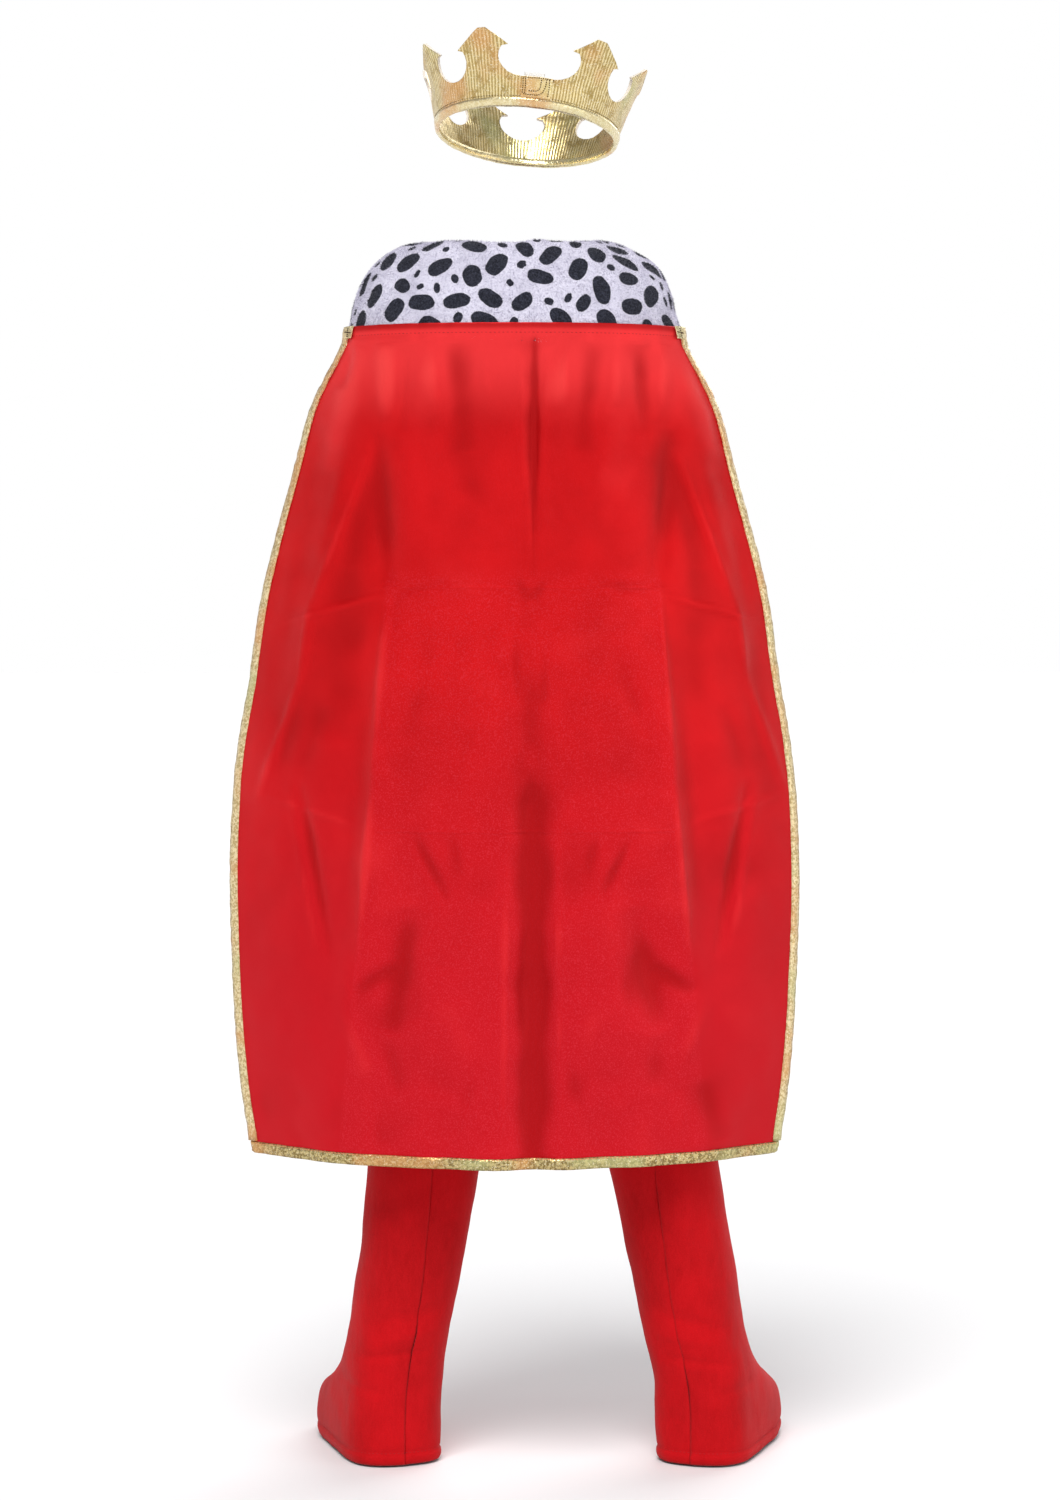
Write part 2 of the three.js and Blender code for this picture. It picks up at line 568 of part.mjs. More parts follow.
// A folded binding over the edge of a wall, made from the wall's own points and normals along the
// binding's inner line and along the edge. slant says which way the wall's four-cornered faces are
// split, so that the binding bends along the same lines.
function bindingOver(inset, edge, cloth, slant = 1) {
  const section = (i) => {
    const [near, far] = [inset[i], edge[i]];
    const past = far.point.clone().sub(near.point).normalize();
    const out = LAY_GAP;
    const back = -(cloth + LAY_GAP);
    const at = (from, along, height) =>
      from.point.clone().addScaledVector(past, along).addScaledVector(from.normal, height);
    return [
      at(near, 0, out + TRIM_CLOTH),
      at(far, LAY_GAP + TRIM_CLOTH, out + TRIM_CLOTH),
      at(far, LAY_GAP + TRIM_CLOTH, back - TRIM_CLOTH),
      at(near, 0, back - TRIM_CLOTH),
      at(near, 0, back),
      at(far, LAY_GAP, back),
      at(far, LAY_GAP, out),
      at(near, 0, out),
    ];
  };
  const sections = inset.map((_, i) => section(i));
  const count = 8;
  const vertices = sections.flat();
  const quads = [];
  for (let s = 0; s < sections.length - 1; s++) {
    for (let i = 0; i < count; i++) {
      const next = (i + 1) % count;
      const face = [s * count + i, s * count + next, (s + 1) * count + next, (s + 1) * count + i];
      const outwards = i === 0 || i === 4;
      if (outwards !== slant > 0) face.push(face.shift());
      quads.push(face);
    }
  }
  const last = (sections.length - 1) * count;
  for (const [a, b, c, d] of [[0, 1, 6, 7], [1, 2, 5, 6], [2, 3, 4, 5]]) {
    quads.push([d, c, b, a]);
    quads.push([last + a, last + b, last + c, last + d]);
  }
  return geometryOf(vertices, quads);
}

function addCape() {
  const heights = capeHeights();
  const points = heights.map((height) => capeRow(height, capeDistances));
  const normals = gridNormals(points, false, 1);
  addPiece("cape", wallBetween(points, moved(points, normals, -CAPE_CLOTH)), "satin");

  const place = (r, c) => ({ point: points[r][c], normal: normals[r][c] });
  const lastRow = points.length - 1;
  const lastColumn = points[0].length - 1;
  const sideRows = points.map((_, r) => r).slice(0, lastRow);
  const clearOfHem = (r, c) => {
    const spot = place(r, c);
    if (r < lastRow - 1) return spot;
    const above = place(r - 1, c);
    const share = (LAY_GAP + SEAM_GAP) / (heights[r - 1] - heights[r]);
    return {
      point: spot.point.clone().lerp(above.point, share),
      normal: spot.normal.clone().lerp(above.normal, share),
    };
  };
  const edges = [
    { name: "trim_left", edge: lastColumn, inset: lastColumn - 1, slant: 1 },
    { name: "trim_right", edge: 0, inset: 1, slant: -1 },
  ];
  for (const { name, edge, inset, slant } of edges) {
    const lines = [inset, edge].map((c) => sideRows.map((r) => clearOfHem(r, c)));
    addPiece(name, bindingOver(...lines, CAPE_CLOTH, slant), "gold_trim");
  }
  const hem = [lastRow - 1, lastRow].map((r) => points[r].map((_, c) => place(r, c)));
  addPiece("trim_hem", bindingOver(...hem, CAPE_CLOTH), "gold_trim");

  // A square of trim, sewn down with crossed stitches, holds each top corner to the collar. It lies
  // across the line where the trim meets the satin.
  const patchLift = 2 * LAY_GAP + TRIM_CLOTH;
  const between = (near, far, share) => ({
    point: near.point.clone().lerp(far.point, share),
    normal: near.normal.clone().lerp(far.normal, share).normalize(),
  });
  for (const { name, edge, inset } of edges) {
    const further = 2 * inset - edge;
    const grid = [0, 1].map((r) => {
      const [onSatin, onLine, onTrim] = [further, inset, edge].map((c) => place(r, c));
      return [between(onLine, onSatin, PATCH_ON_SATIN), onLine, between(onLine, onTrim, PATCH_ON_TRIM)];
    });
    const layer = (height) =>
      grid.map((row) => row.map((spot) => spot.point.clone().addScaledVector(spot.normal, height)));
    const patch = wallBetween(layer(patchLift + TRIM_CLOTH), layer(patchLift));
    addPiece(name.replace("trim", "corner_patch"), patch, "gold_trim");
  }
}

// The crown: a band of lamé that widens upwards, cut into arrow-headed points with round gaps between.
const CROWN = {
  middle: new THREE.Vector3(-10, -8, 1114.5), // at the band's lower edge
  halfWidth: 76,
  halfDepth: 94,
  spread: 0.2, // outwards for each millimetre up, at the band's lower edge
  curl: 0.16, // and how much more of it is added on the way to the tips
  tall: 55.5,
  nod: radians(8.6), // the front lower than the back
  roll: radians(-5), // the wearer's right side lower than the left
  turn: radians(-4), // the join stands a little to the wearer's right of the centre back
};
const CROWN_POINTS = 8;
const JOIN_GAP = 98; // between the two points beside the join, along the band
const POINT = { neck: 30, headHalf: 22, shoulder: 44 };
const GAP_FLOOR = 21; // from the band's lower edge to the bottom of a gap
const GAP_RISE = 15; // half the height that the round would have if it were closed
const BINDING_TALL = 5.5;
const CROWN_STEPS = 48;

const crownReach = (up) => up * (CROWN.spread + (CROWN.curl * up) / CROWN.tall);

// A place on the crown: an angle round it from the join, a height, and a distance outwards.
function crownPlace(angle, up, out) {
  const x = -Math.sin(angle);
  const y = Math.cos(angle);
  const lean = Math.atan(CROWN.spread + (2 * CROWN.curl * up) / CROWN.tall);
  const reach = crownReach(up) + out * Math.cos(lean);
  const rise = up - out * Math.sin(lean);
  return new THREE.Vector3(x * (CROWN.halfWidth + reach), y * (CROWN.halfDepth + reach), rise)
    .applyAxisAngle(new THREE.Vector3(1, 0, 0), CROWN.nod)
    .applyAxisAngle(new THREE.Vector3(0, 1, 0), CROWN.roll)
    .add(CROWN.middle);
}

// The angle at a distance along the band from the join, measured halfway up the points.
function crownAngle(distance) {
  const steps = 720;
  const reach = crownReach(CROWN.tall / 2);
  let angle = 0;
  let run = 0;
  while (run < Math.abs(distance)) {
    const dx = (CROWN.halfWidth + reach) * Math.cos(angle + CROWN.turn * Math.sign(distance));
    const dy = (CROWN.halfDepth + reach) * Math.sin(angle + CROWN.turn * Math.sign(distance));
    run += Math.hypot(dx, dy) * ((2 * Math.PI) / steps);
    angle += (2 * Math.PI) / steps;
  }
  return Math.sign(distance) * angle - CROWN.turn;
}

function crownRound() {
  const reach = crownReach(CROWN.tall / 2);
  const a = CROWN.halfWidth + reach;
  const b = CROWN.halfDepth + reach;
  return Math.PI * (3 * (a + b) - Math.sqrt((3 * a + b) * (a + 3 * b)));
}

// A gap's outline, as distances from the gap's middle and heights: a round floor that closes under the
// arrow heads, and their sloping edges above, carried past the tips.
function gapOutline(pitch) {
  const across = (crownPitch() - POINT.neck) / 2;
  const middle = pitch / 2 - POINT.neck / 2 - across;
  const half = [];
  const arcSteps = 7;
  for (let i = 0; i <= arcSteps; i++) {
    const angle = radians(lerp(-90, 25, i / arcSteps));
    half.push([
      middle + across * Math.cos(angle),
      GAP_FLOOR + GAP_RISE * (1 + Math.sin(angle)),
    ]);
  }
  const corner = [pitch / 2 - POINT.headHalf, POINT.shoulder];
  const past = 2; // the slope runs on past the tip by its own length
  half.push(corner);
  half.push([
    corner[0] + POINT.headHalf * past,
    corner[1] + (CROWN.tall - POINT.shoulder) * past,
  ]);
  const mirrored = half.map(([x, z]) => [-x, z]).reverse();
  return [...half, ...mirrored];
}

const crownPitch = () => (crownRound() - JOIN_GAP) / (CROWN_POINTS - 1);

function crownCutter(middle, pitch) {
  const angle = crownAngle(middle);
  const [low, high] = [crownPlace(angle, 0, 0), crownPlace(angle, CROWN.tall, 0)];
  const up = high.clone().sub(low).divideScalar(CROWN.tall);
  const along = up.clone().cross(crownPlace(angle, 0, 1).sub(low)).normalize();
  const out = along.clone().cross(up).normalize();
  const ring = (depth) =>
    gapOutline(pitch).map(([x, z]) =>
      low.clone().addScaledVector(along, x).addScaledVector(up, z).addScaledVector(out, depth),
    );
  return prismBetween(ring(-22), ring(12));
}

function crownRing(up, out) {
  return Array.from({ length: CROWN_STEPS }, (_, i) =>
    crownPlace((i / CROWN_STEPS) * 2 * Math.PI, up, out),
  );
}

// A plate that lies on the band between two distances from the join and two heights.
function crownPlate(from, to, low, high, out, thick) {
  const steps = 4;
  const angles = Array.from({ length: steps + 1 }, (_, i) => crownAngle(lerp(from, to, i / steps)));
  const layer = (distance) =>
    [high, low].map((up) => angles.map((angle) => crownPlace(angle, up, distance)));
  return wallBetween(layer(out + thick), layer(out));
}

const CROWN_TAB = { from: -12, to: 13, low: 6.4, high: 22.5 };
const HOOK_TAPE = { from: -11, to: 6, low: 6.4, high: 25.5, thick: 1 };

function addCrown() {
  const levels = [CROWN.tall + 3, 42, 24, BINDING_TALL, 0];
  const face = (out) => levels.map((up) => crownRing(up, out));
  const band = wallBetween(face(0), face(-CROWN_CLOTH), true);
  const pitch = crownPitch();
  const cutters = [crownCutter(0.01, JOIN_GAP)];
  for (let i = 0; i < CROWN_POINTS - 1; i++) {
    cutters.push(crownCutter(JOIN_GAP / 2 + pitch * (i + 0.5), pitch));
  }
  addPiece("crown_band", cutFrom(band, cutters), "lame");

  const spots = (up) =>
    [...crownRing(up, 0), crownRing(up, 0)[0]].map((point, i) => {
      const angle = (i / CROWN_STEPS) * 2 * Math.PI;
      return { point, normal: crownPlace(angle, up, 1).sub(point).normalize() };
    });
  const ring = bindingRound(spots(BINDING_TALL), spots(0));
  addPiece("crown_binding", ring, "gold_trim");

  const { from, to, low, high } = CROWN_TAB;
  addPiece("crown_tab", crownPlate(from, to, low, high, LAY_GAP, TRIM_CLOTH), "lame");
  const tapeOut = -(CROWN_CLOTH + LAY_GAP + HOOK_TAPE.thick);
  const tape = crownPlate(
    HOOK_TAPE.from, HOOK_TAPE.to, HOOK_TAPE.low, HOOK_TAPE.high, tapeOut, HOOK_TAPE.thick,
  );
  addPiece("crown_hook_tape", tape, "hook_tape");
}

// The crown's binding, the same folded section as the cape's but joined into a ring.
function bindingRound(inset, edge) {
  const open = bindingOver(inset, edge, CROWN_CLOTH);
  const perSection = 8;
  const sections = inset.length;
  const kept = [];
  const index = open.index.array;
  const capTriangles = 12;
  for (let i = 0; i < index.length - capTriangles * 3; i++) {
    kept.push(index[i] % ((sections - 1) * perSection));
  }
  open.setIndex(kept);
  return open;
}

addBody();
addSleeves();
addLegs();
addCollar();
addCape();
addCrown();

export default costume;
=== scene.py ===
"""A child's king costume, seen from behind: crown, spotted collar, satin cape and red suit.

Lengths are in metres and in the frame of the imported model. Heights below are counted up from the
floor that the costume stands over, and placed() brings them into the frame.
"""
import math
import random
from collections import namedtuple

import bpy
import numpy as np
from mathutils import Matrix, Vector, noise
from mathutils.bvhtree import BVHTree
from mathutils.kdtree import KDTree


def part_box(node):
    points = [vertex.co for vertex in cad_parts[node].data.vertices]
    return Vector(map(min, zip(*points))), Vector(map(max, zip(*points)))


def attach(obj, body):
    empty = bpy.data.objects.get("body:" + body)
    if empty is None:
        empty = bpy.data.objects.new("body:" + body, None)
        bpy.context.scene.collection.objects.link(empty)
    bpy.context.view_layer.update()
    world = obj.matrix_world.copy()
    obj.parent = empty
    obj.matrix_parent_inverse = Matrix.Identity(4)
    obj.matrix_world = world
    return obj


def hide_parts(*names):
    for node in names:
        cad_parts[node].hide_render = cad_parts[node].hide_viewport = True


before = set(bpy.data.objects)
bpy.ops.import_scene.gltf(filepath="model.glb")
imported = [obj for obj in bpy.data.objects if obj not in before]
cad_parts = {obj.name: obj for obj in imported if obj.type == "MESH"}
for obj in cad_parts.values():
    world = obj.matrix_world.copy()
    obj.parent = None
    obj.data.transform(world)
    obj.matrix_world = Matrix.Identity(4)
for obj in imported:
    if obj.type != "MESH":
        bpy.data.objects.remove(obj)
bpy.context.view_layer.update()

HOLD_HEIGHT = 0.960  # the frame's origin, between the shoulders, above the floor
MM = 0.001

# How thick the cloths are
SUIT_CLOTH = 1.6 * MM
CAPE_CLOTH = 1.0 * MM
COLLAR_CLOTH = 3.6 * MM

random.seed(7)


def z_at(height):
    """The frame's z for a height above the floor in millimetres."""
    return height * MM - HOLD_HEIGHT


def placed(x, y, height):
    """A point of the frame, from millimetres and a height above the floor."""
    return Vector((x * MM, y * MM, z_at(height)))


def heights_of(points):
    """How far above the floor points lie, in millimetres."""
    return (points[:, 2] + HOLD_HEIGHT) / MM


# Handling of meshes

MERGE_DISTANCE = 0.02 * MM
WALL_TURN = math.radians(72)  # a cloth wall's face ends where it turns more than this
BEVEL_TURN = math.radians(50)


def new_object(name, data):
    made = bpy.data.objects.new(name, data)
    bpy.context.scene.collection.objects.link(made)
    return made


def deselect_all():
    if bpy.context.mode != "OBJECT":
        bpy.ops.object.mode_set(mode="OBJECT")
    bpy.ops.object.select_all(action="DESELECT")


def pick(piece):
    deselect_all()
    piece.select_set(True)
    bpy.context.view_layer.objects.active = piece


def edit_all(piece):
    """Opens a piece in edit mode with all of it selected."""
    pick(piece)
    bpy.ops.object.mode_set(mode="EDIT")
    bpy.ops.mesh.select_all(action="SELECT")


def end_edit():
    bpy.ops.object.mode_set(mode="OBJECT")


def clear_selection(piece, kind):
    """Leaves nothing of a piece selected, so that faces or edges can be chosen in code."""
    edit_all(piece)
    bpy.ops.mesh.select_mode(type=kind)
    bpy.ops.mesh.select_all(action="DESELECT")
    end_edit()


def apply_modifier(piece, kind, **settings):
    pick(piece)
    modifier = piece.modifiers.new(kind.title(), kind)
    for setting, value in settings.items():
        setattr(modifier, setting, value)
    bpy.ops.object.modifier_apply(modifier=modifier.name)


def subdivide_smoothly(piece, levels):
    apply_modifier(
        piece,
        "SUBSURF",
        levels=levels,
        render_levels=levels,
        boundary_smooth="PRESERVE_CORNERS",
    )


def thicken(piece, cloth):
    """Gives a sheet its thickness, inwards from the face that it has."""
    apply_modifier(piece, "SOLIDIFY", thickness=cloth, offset=-1.0, use_even_offset=False)


def bevel_edges(piece, width):
    apply_modifier(
        piece, "BEVEL", width=width, segments=2, limit_method="ANGLE", angle_limit=BEVEL_TURN
    )


def points_and_normals(piece):
    mesh = piece.data
    points = np.empty(len(mesh.vertices) * 3)
    normals = np.empty(len(mesh.vertices) * 3)
    mesh.vertices.foreach_get("co", points)
    mesh.vertices.foreach_get("normal", normals)
    return points.reshape(-1, 3), normals.reshape(-1, 3)


def points_of(piece):
    return points_and_normals(piece)[0]


def set_points(piece, points):
    piece.data.vertices.foreach_set("co", points.ravel())
    piece.data.update()


def raise_surface(piece, amounts):
    """Moves each vertex out along its normal by its amount in metres."""
    points, normals = points_and_normals(piece)
    set_points(piece, points + normals * np.asarray(amounts)[:, None])


def copy_of(node, name):
    """A copy of a node of the frame, with its loose triangles merged."""
    piece = new_object(name, bpy.data.objects[node].data.copy())
    piece.data.materials.clear()
    edit_all(piece)
    bpy.ops.mesh.remove_doubles(threshold=MERGE_DISTANCE)
    end_edit()
    return piece


def tree_of(piece):
    return BVHTree.FromPolygons(
        [v.co for v in piece.data.vertices], [p.vertices for p in piece.data.polygons]
    )


def outer_face(node, name, seen_from, looking):
    """Copies only the face of a cloth wall that is seen from a point, as quads."""
    piece = copy_of(node, name)
    seen = tree_of(piece).ray_cast(seen_from, Vector(looking))[2]
    clear_selection(piece, "FACE")
    piece.data.polygons[seen].select = True
    bpy.ops.object.mode_set(mode="EDIT")
    bpy.ops.mesh.faces_select_linked_flat(sharpness=WALL_TURN)
    bpy.ops.mesh.select_all(action="INVERT")
    bpy.ops.mesh.delete(type="FACE")
    end_edit()
    edit_all(piece)
    bpy.ops.mesh.tris_convert_to_quads(
        face_threshold=math.radians(80),
        shape_threshold=math.radians(175),
        topology_influence=2.0,
    )
    end_edit()
    return piece


def edge_points(piece):
    """The numbers of the vertices on a sheet's open edges."""
    uses = {}
    for face in piece.data.polygons:
        for key in face.edge_keys:
            uses[key] = uses.get(key, 0) + 1
    return sorted({v for key, count in uses.items() if count == 1 for v in key})


def store(piece, attribute_name, values):
    """Keeps a number for each vertex, for a material or a later step to read."""
    attribute = piece.data.attributes.new(attribute_name, "FLOAT", "POINT")
    attribute.data.foreach_set("value", np.asarray(values, dtype=float))


def stored(piece, attribute_name):
    values = np.empty(len(piece.data.vertices))
    piece.data.attributes[attribute_name].data.foreach_get("value", values)
    return values


def point_tree(points):
    tree = KDTree(len(points))
    for number, point in enumerate(points):
        tree.insert(point, number)
    tree.balance()
    return tree


def distances_from(points, line):
    tree = point_tree(line)
    return np.array([tree.find(point)[2] for point in points])


def dense_line(line, spacing=1 * MM):
    """The points of a line with more put in between them."""
    result = []
    for start, end in zip(line, line[1:]):
        start, end = Vector(start), Vector(end)
        steps = max(1, round((end - start).length / spacing))
        result += [start.lerp(end, step / steps) for step in range(steps)]
    return result + [Vector(line[-1])]


def finish_piece(piece, material, replaced=()):
    """Gives a piece its one material, attaches it to the root body, and hides the parts that it
    replaces.
    """
    piece.data.materials.clear()
    piece.data.materials.append(material)
    for face in piece.data.polygons:
        face.material_index = 0
        face.use_smooth = True
    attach(piece, "root")
    if replaced:
        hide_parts(*replaced)
    return piece


# Creases, listed one by one. Each runs from one point to another as seen from the back, in
# millimetres across and heights above the floor. half is half its width, and rise its height: a
# trough has a negative one.

Crease = namedtuple("Crease", "x1 h1 x2 h2 half rise")
CREASE_ENDS = 0.6  # how bluntly a crease fades out at its two ends


def bell(values, half):
    """1 at nought, and falling away smoothly on both sides."""
    return np.exp(-((values / half) ** 2))


def crease_heights(points, creases, mirror_at=None):
    """The creases' rise at each point. About mirror_at, each is laid on both sides."""
    amounts = np.zeros(len(points))
    x = points[:, 0] / MM
    h = heights_of(points)
    sides = [(0, 1)] if mirror_at is None else [(mirror_at, 1), (mirror_at, -1)]
    for crease in creases:
        for middle, side in sides:
            start = middle + side * crease.x1
            dx = middle + side * crease.x2 - start
            dh = crease.h2 - crease.h1
            length = math.hypot(dx, dh)
            along = ((x - start) * dx + (h - crease.h1) * dh) / length**2
            across = ((x - start) * dh - (h - crease.h1) * dx) / length
            fade = np.sin(np.pi * np.clip(along, 0, 1)) ** CREASE_ENDS
            amounts += crease.rise * MM * fade * bell(across, crease.half)
    return amounts


def rumple(points, size, depth, seed=0.0):
    """A soft unevenness of the given size and depth, in millimetres."""
    shift = Vector((seed, seed * 2.3, seed * 0.7))
    return np.array([noise.noise(Vector(p) / (size * MM) + shift) for p in points]) * depth * MM


def smooth_step(values, low, high):
    share = np.clip((values - low) / (high - low), 0, 1)
    return share * share * (3 - 2 * share)


# Shader maths


class Value:
    """A socket whose arithmetic adds Math nodes."""

    def __init__(self, shader, socket):
        self.shader = shader
        self.socket = socket

    def _math(self, operation, *terms):
        return self.shader.node("ShaderNodeMath", {"operation": operation}, *terms)

    def __add__(self, other):
        return self._math("ADD", self, other)

    def __sub__(self, other):
        return self._math("SUBTRACT", self, other)

    def __mul__(self, other):
        return self._math("MULTIPLY", self, other)

    def __rsub__(self, other):
        return self._math("SUBTRACT", other, self)

    def size(self):
        """Without its sign."""
        return self._math("ABSOLUTE", self)

    def between(self, low, high):
        """0 below low, 1 above high and smooth from one to the other."""
        return self.shader.node(
            "ShaderNodeMapRange",
            {"interpolation_type": "SMOOTHSTEP", "clamp": True},
            self,
            low,
            high,
            0.0,
            1.0,
        )

    __radd__ = __add__
    __rmul__ = __mul__


class Shader:
    """A material, or the sky's world, and the nodes that are put into it."""

    def __init__(self, name, sky=False):
        self.material = bpy.data.worlds.new(name) if sky else bpy.data.materials.new(name)
        self.material.use_nodes = True
        self.tree = self.material.node_tree
        self.tree.nodes.clear()
        self.output = self.tree.nodes.new(f"ShaderNodeOutput{'World' if sky else 'Material'}")

    def put(self, socket, value):
        if isinstance(value, Value):
            self.tree.links.new(value.socket, socket)
        else:
            socket.default_value = value

    def node(self, kind, settings=None, *values, output=0, **named):
        """Adds a node: its settings first, then its sockets in order and by name."""
        made = self.tree.nodes.new(kind)
        for setting, value in (settings or {}).items():
            if setting == "stops":
                ramp = made.color_ramp
                while len(ramp.elements) < len(value):
                    ramp.elements.new(0.5)
                for element, (place, color) in zip(ramp.elements, value):
                    element.position = place
                    element.color = (*color, 1.0)
            else:
                setattr(made, setting, value)
        for socket, value in zip(made.inputs, values):
            self.put(socket, value)
        for socket, value in named.items():
            self.put(made.inputs[socket.replace("_", " ")], value)
        return Value(self, made.outputs[output])

    def place(self, scale=(1, 1, 1), turn=(0, 0, 0)):
        spot = self.node("ShaderNodeTexCoord", output="Object")
        return self.node("ShaderNodeMapping", None, spot, (0, 0, 0), turn, scale)

    def read(self, attribute_name):
        return self.node("ShaderNodeAttribute", {"attribute_name": attribute_name}, output="Fac")

    def axis(self, where, letter):
        return self.node("ShaderNodeSeparateXYZ", None, where, output=letter)

    def noise(self, where, scale, detail=3.0, rough=0.55):
        return self.node(
            "ShaderNodeTexNoise", None, Vector=where, Scale=scale, Detail=detail, Roughness=rough
        )

    def mix(self, share, first, second):
        made = self.tree.nodes.new("ShaderNodeMix")
        made.data_type = "RGBA"
        self.put(made.inputs["Factor"], share)
        for socket, color in zip([s for s in made.inputs if s.type == "RGBA"], (first, second)):
            self.put(socket, color)
        return Value(self, next(s for s in made.outputs if s.type == "RGBA"))

    def bump(self, height, depth, strength=1.0, under=None):
        named = {"Strength": strength, "Distance": depth, "Height": height}
        if under is not None:
            named["Normal"] = under
        return self.node("ShaderNodeBump", None, **named)

    def surface(self, color, roughness, normal=None, **constants):
        named = {"Base_Color": color, "Roughness": roughness}
        if normal is not None:
            named["Normal"] = normal
        made = self.node("ShaderNodeBsdfPrincipled", None, **named, **constants)
        self.tree.links.new(made.socket, self.output.inputs["Surface"])
        return self.material


def rgb(r, g, b):
    return (r, g, b, 1.0)


def velour():
    """The suit's red cloth, matt and a little uneven, with a short nap."""
    s = Shader("suit_velour")
    where = s.place()
    patches = s.noise(where, 16, 4).between(0.3, 0.72)
    brushed = s.noise(s.place(scale=(1, 1, 0.35)), 160, 3).between(0.3, 0.7)
    nap = s.noise(where, 1300, 2)
    color = s.mix(patches, rgb(0.36, 0.003, 0.005), rgb(0.47, 0.004, 0.007))
    color = s.mix(brushed * 0.3, color, rgb(0.51, 0.006, 0.010))
    color = s.mix(nap.between(0.45, 0.65) * 0.3, color, rgb(0.56, 0.010, 0.014))
    normal = s.bump(brushed, 0.0004, 0.3)
    normal = s.bump(nap, 0.0004, 0.6, under=normal)
    return s.surface(
        color, patches * 0.1 + 0.82, normal, Sheen_Weight=0.05, Sheen_Roughness=0.45,
        Specular_IOR_Level=0.06,
    )


FOLD_MIDDLE = -8  # the cape's folds lie mirrored about this line
# Lines ironed in where the cape was folded in its packet: how high, how far to each side of the
# middle, how thick, and how far they wander up and down
IRONED_LINES = (736, 537)
IRONED_REACH = 132
IRONED_HALF = 2.2 * MM
IRONED_WAVER = 3 * MM
# The flat back panel, where the weave's painted glitter is strongest: it widens downwards from the
# upper ironed line
PANEL_TOP = z_at(IRONED_LINES[0])
PANEL_HALF_WIDTH = 110 * MM
PANEL_SPREAD = 0.086
SHOULDER_PAINTED_LIGHT = (z_at(860), z_at(925))  # a painted highlight lightens the satin between these heights, as if lit from above
LOWER_SHADE = (z_at(340), z_at(740))  # and deeper below these


def satin():
    """The cape's satin: floats down the cloth that catch the light, over a fine weave. Its colour
    carries painted glitter, painted highlights on folds and shoulders, and painted shade in troughs
    and shadows.
    """
    s = Shader("cape_satin")
    where = s.place()
    floats = s.noise(s.place(scale=(1500, 1500, 520)), 1.0, 2)
    patches = s.noise(where, 9, 5, 0.6)
    painted_glitter = s.noise(where, 950, 3)
    relief = s.read("relief")
    height = s.axis(where, "Z")
    low = 1 - height.between(*LOWER_SHADE)
    color = s.mix(patches.between(0.3, 0.7), rgb(0.455, 0.0025, 0.004), rgb(0.56, 0.004, 0.006))
    color = s.mix(low * 0.7, color, rgb(0.50, 0.005, 0.013))
    sideways = (s.axis(where, "X") - FOLD_MIDDLE * MM).size()
    spread = sideways + (height - PANEL_TOP) * PANEL_SPREAD
    beside = spread.between(PANEL_HALF_WIDTH, PANEL_HALF_WIDTH + 5 * MM)
    above = height.between(PANEL_TOP, PANEL_TOP + 20 * MM)
    panel = (1 - above * 0.7 - beside * 0.8).between(0.0, 1.0)
    # Painted glitter: bright pink specks of sheen, mostly on the flat back panel
    color = s.mix(painted_glitter.between(0.46, 0.7) * panel * 0.26, color, rgb(0.70, 0.05, 0.08))
    # Painted highlight: the satin's colour is mixed lighter towards the shoulders
    shoulder_highlight = height.between(*SHOULDER_PAINTED_LIGHT)
    color = s.mix(shoulder_highlight * 0.62, color, rgb(0.82, 0.042, 0.045))
    # Painted highlight on the folds' ridges, lighter still at the shoulders, then painted shade in
    # troughs, under the top edge and beside the binding
    color = s.mix(relief.between(0.1, 1.0) * 0.45, color, rgb(0.80, 0.030, 0.034))
    color = s.mix(relief.between(0.2, 0.9) * shoulder_highlight * 0.2, color, rgb(0.95, 0.12, 0.10))
    color = s.mix((0 - relief).between(0.05, 1.0) * 0.72, color, rgb(0.32, 0.001, 0.002))
    across = 1 - sideways.between((IRONED_REACH - 24) * MM, IRONED_REACH * MM)
    waver = (s.noise(s.place(scale=(1, 1, 0)), 26, 2) - 0.5) * IRONED_WAVER
    ironed = 0
    for line in IRONED_LINES:
        off = (height + waver - z_at(line)).size()
        ironed = (1 - off.between(0.0, IRONED_HALF)) * across + ironed
    normal = s.bump(patches, 0.0012, 0.2)
    normal = s.bump(ironed, 0.0006, 0.4, under=normal)
    normal = s.bump(floats, 0.0002, 0.45, under=normal)
    return s.surface(
        color, floats.between(0.35, 0.65) * 0.12 + 0.3, normal, Metallic=0.3,
        Specular_IOR_Level=0.11,
    )


def plush():
    """White pile with dark spots. The piece's own attribute gives the distance into a spot."""
    s = Shader("spotted_plush")
    where = s.place()
    tufts = s.noise(where, 620, 3)
    ragged = s.noise(where, 1000, 2) - 0.5
    spot = (s.read("spot") + ragged * 0.5).between(-0.25, 0.25)
    shade = s.noise(where, 34, 3).between(0.3, 0.7)
    white = s.mix(shade, rgb(0.56, 0.54, 0.64), rgb(0.67, 0.65, 0.75))
    # Painted shade between the tufts: the white is greyer where the tufts' bump is low, and the
    # spots darker there too
    white = s.mix(tufts.between(0.28, 0.5), rgb(0.45, 0.43, 0.53), white)
    dark = s.mix(tufts.between(0.4, 0.65), rgb(0.012, 0.013, 0.022), rgb(0.034, 0.036, 0.055))
    normal = s.bump(tufts, 0.0014, 0.5)
    return s.surface(
        s.mix(spot, white, dark), 0.93, normal, Sheen_Weight=0.1, Sheen_Roughness=0.6,
        Specular_IOR_Level=0.12,
    )


RIB_WAY = 2.9 * MM  # from one rib of the crown's lame to the next


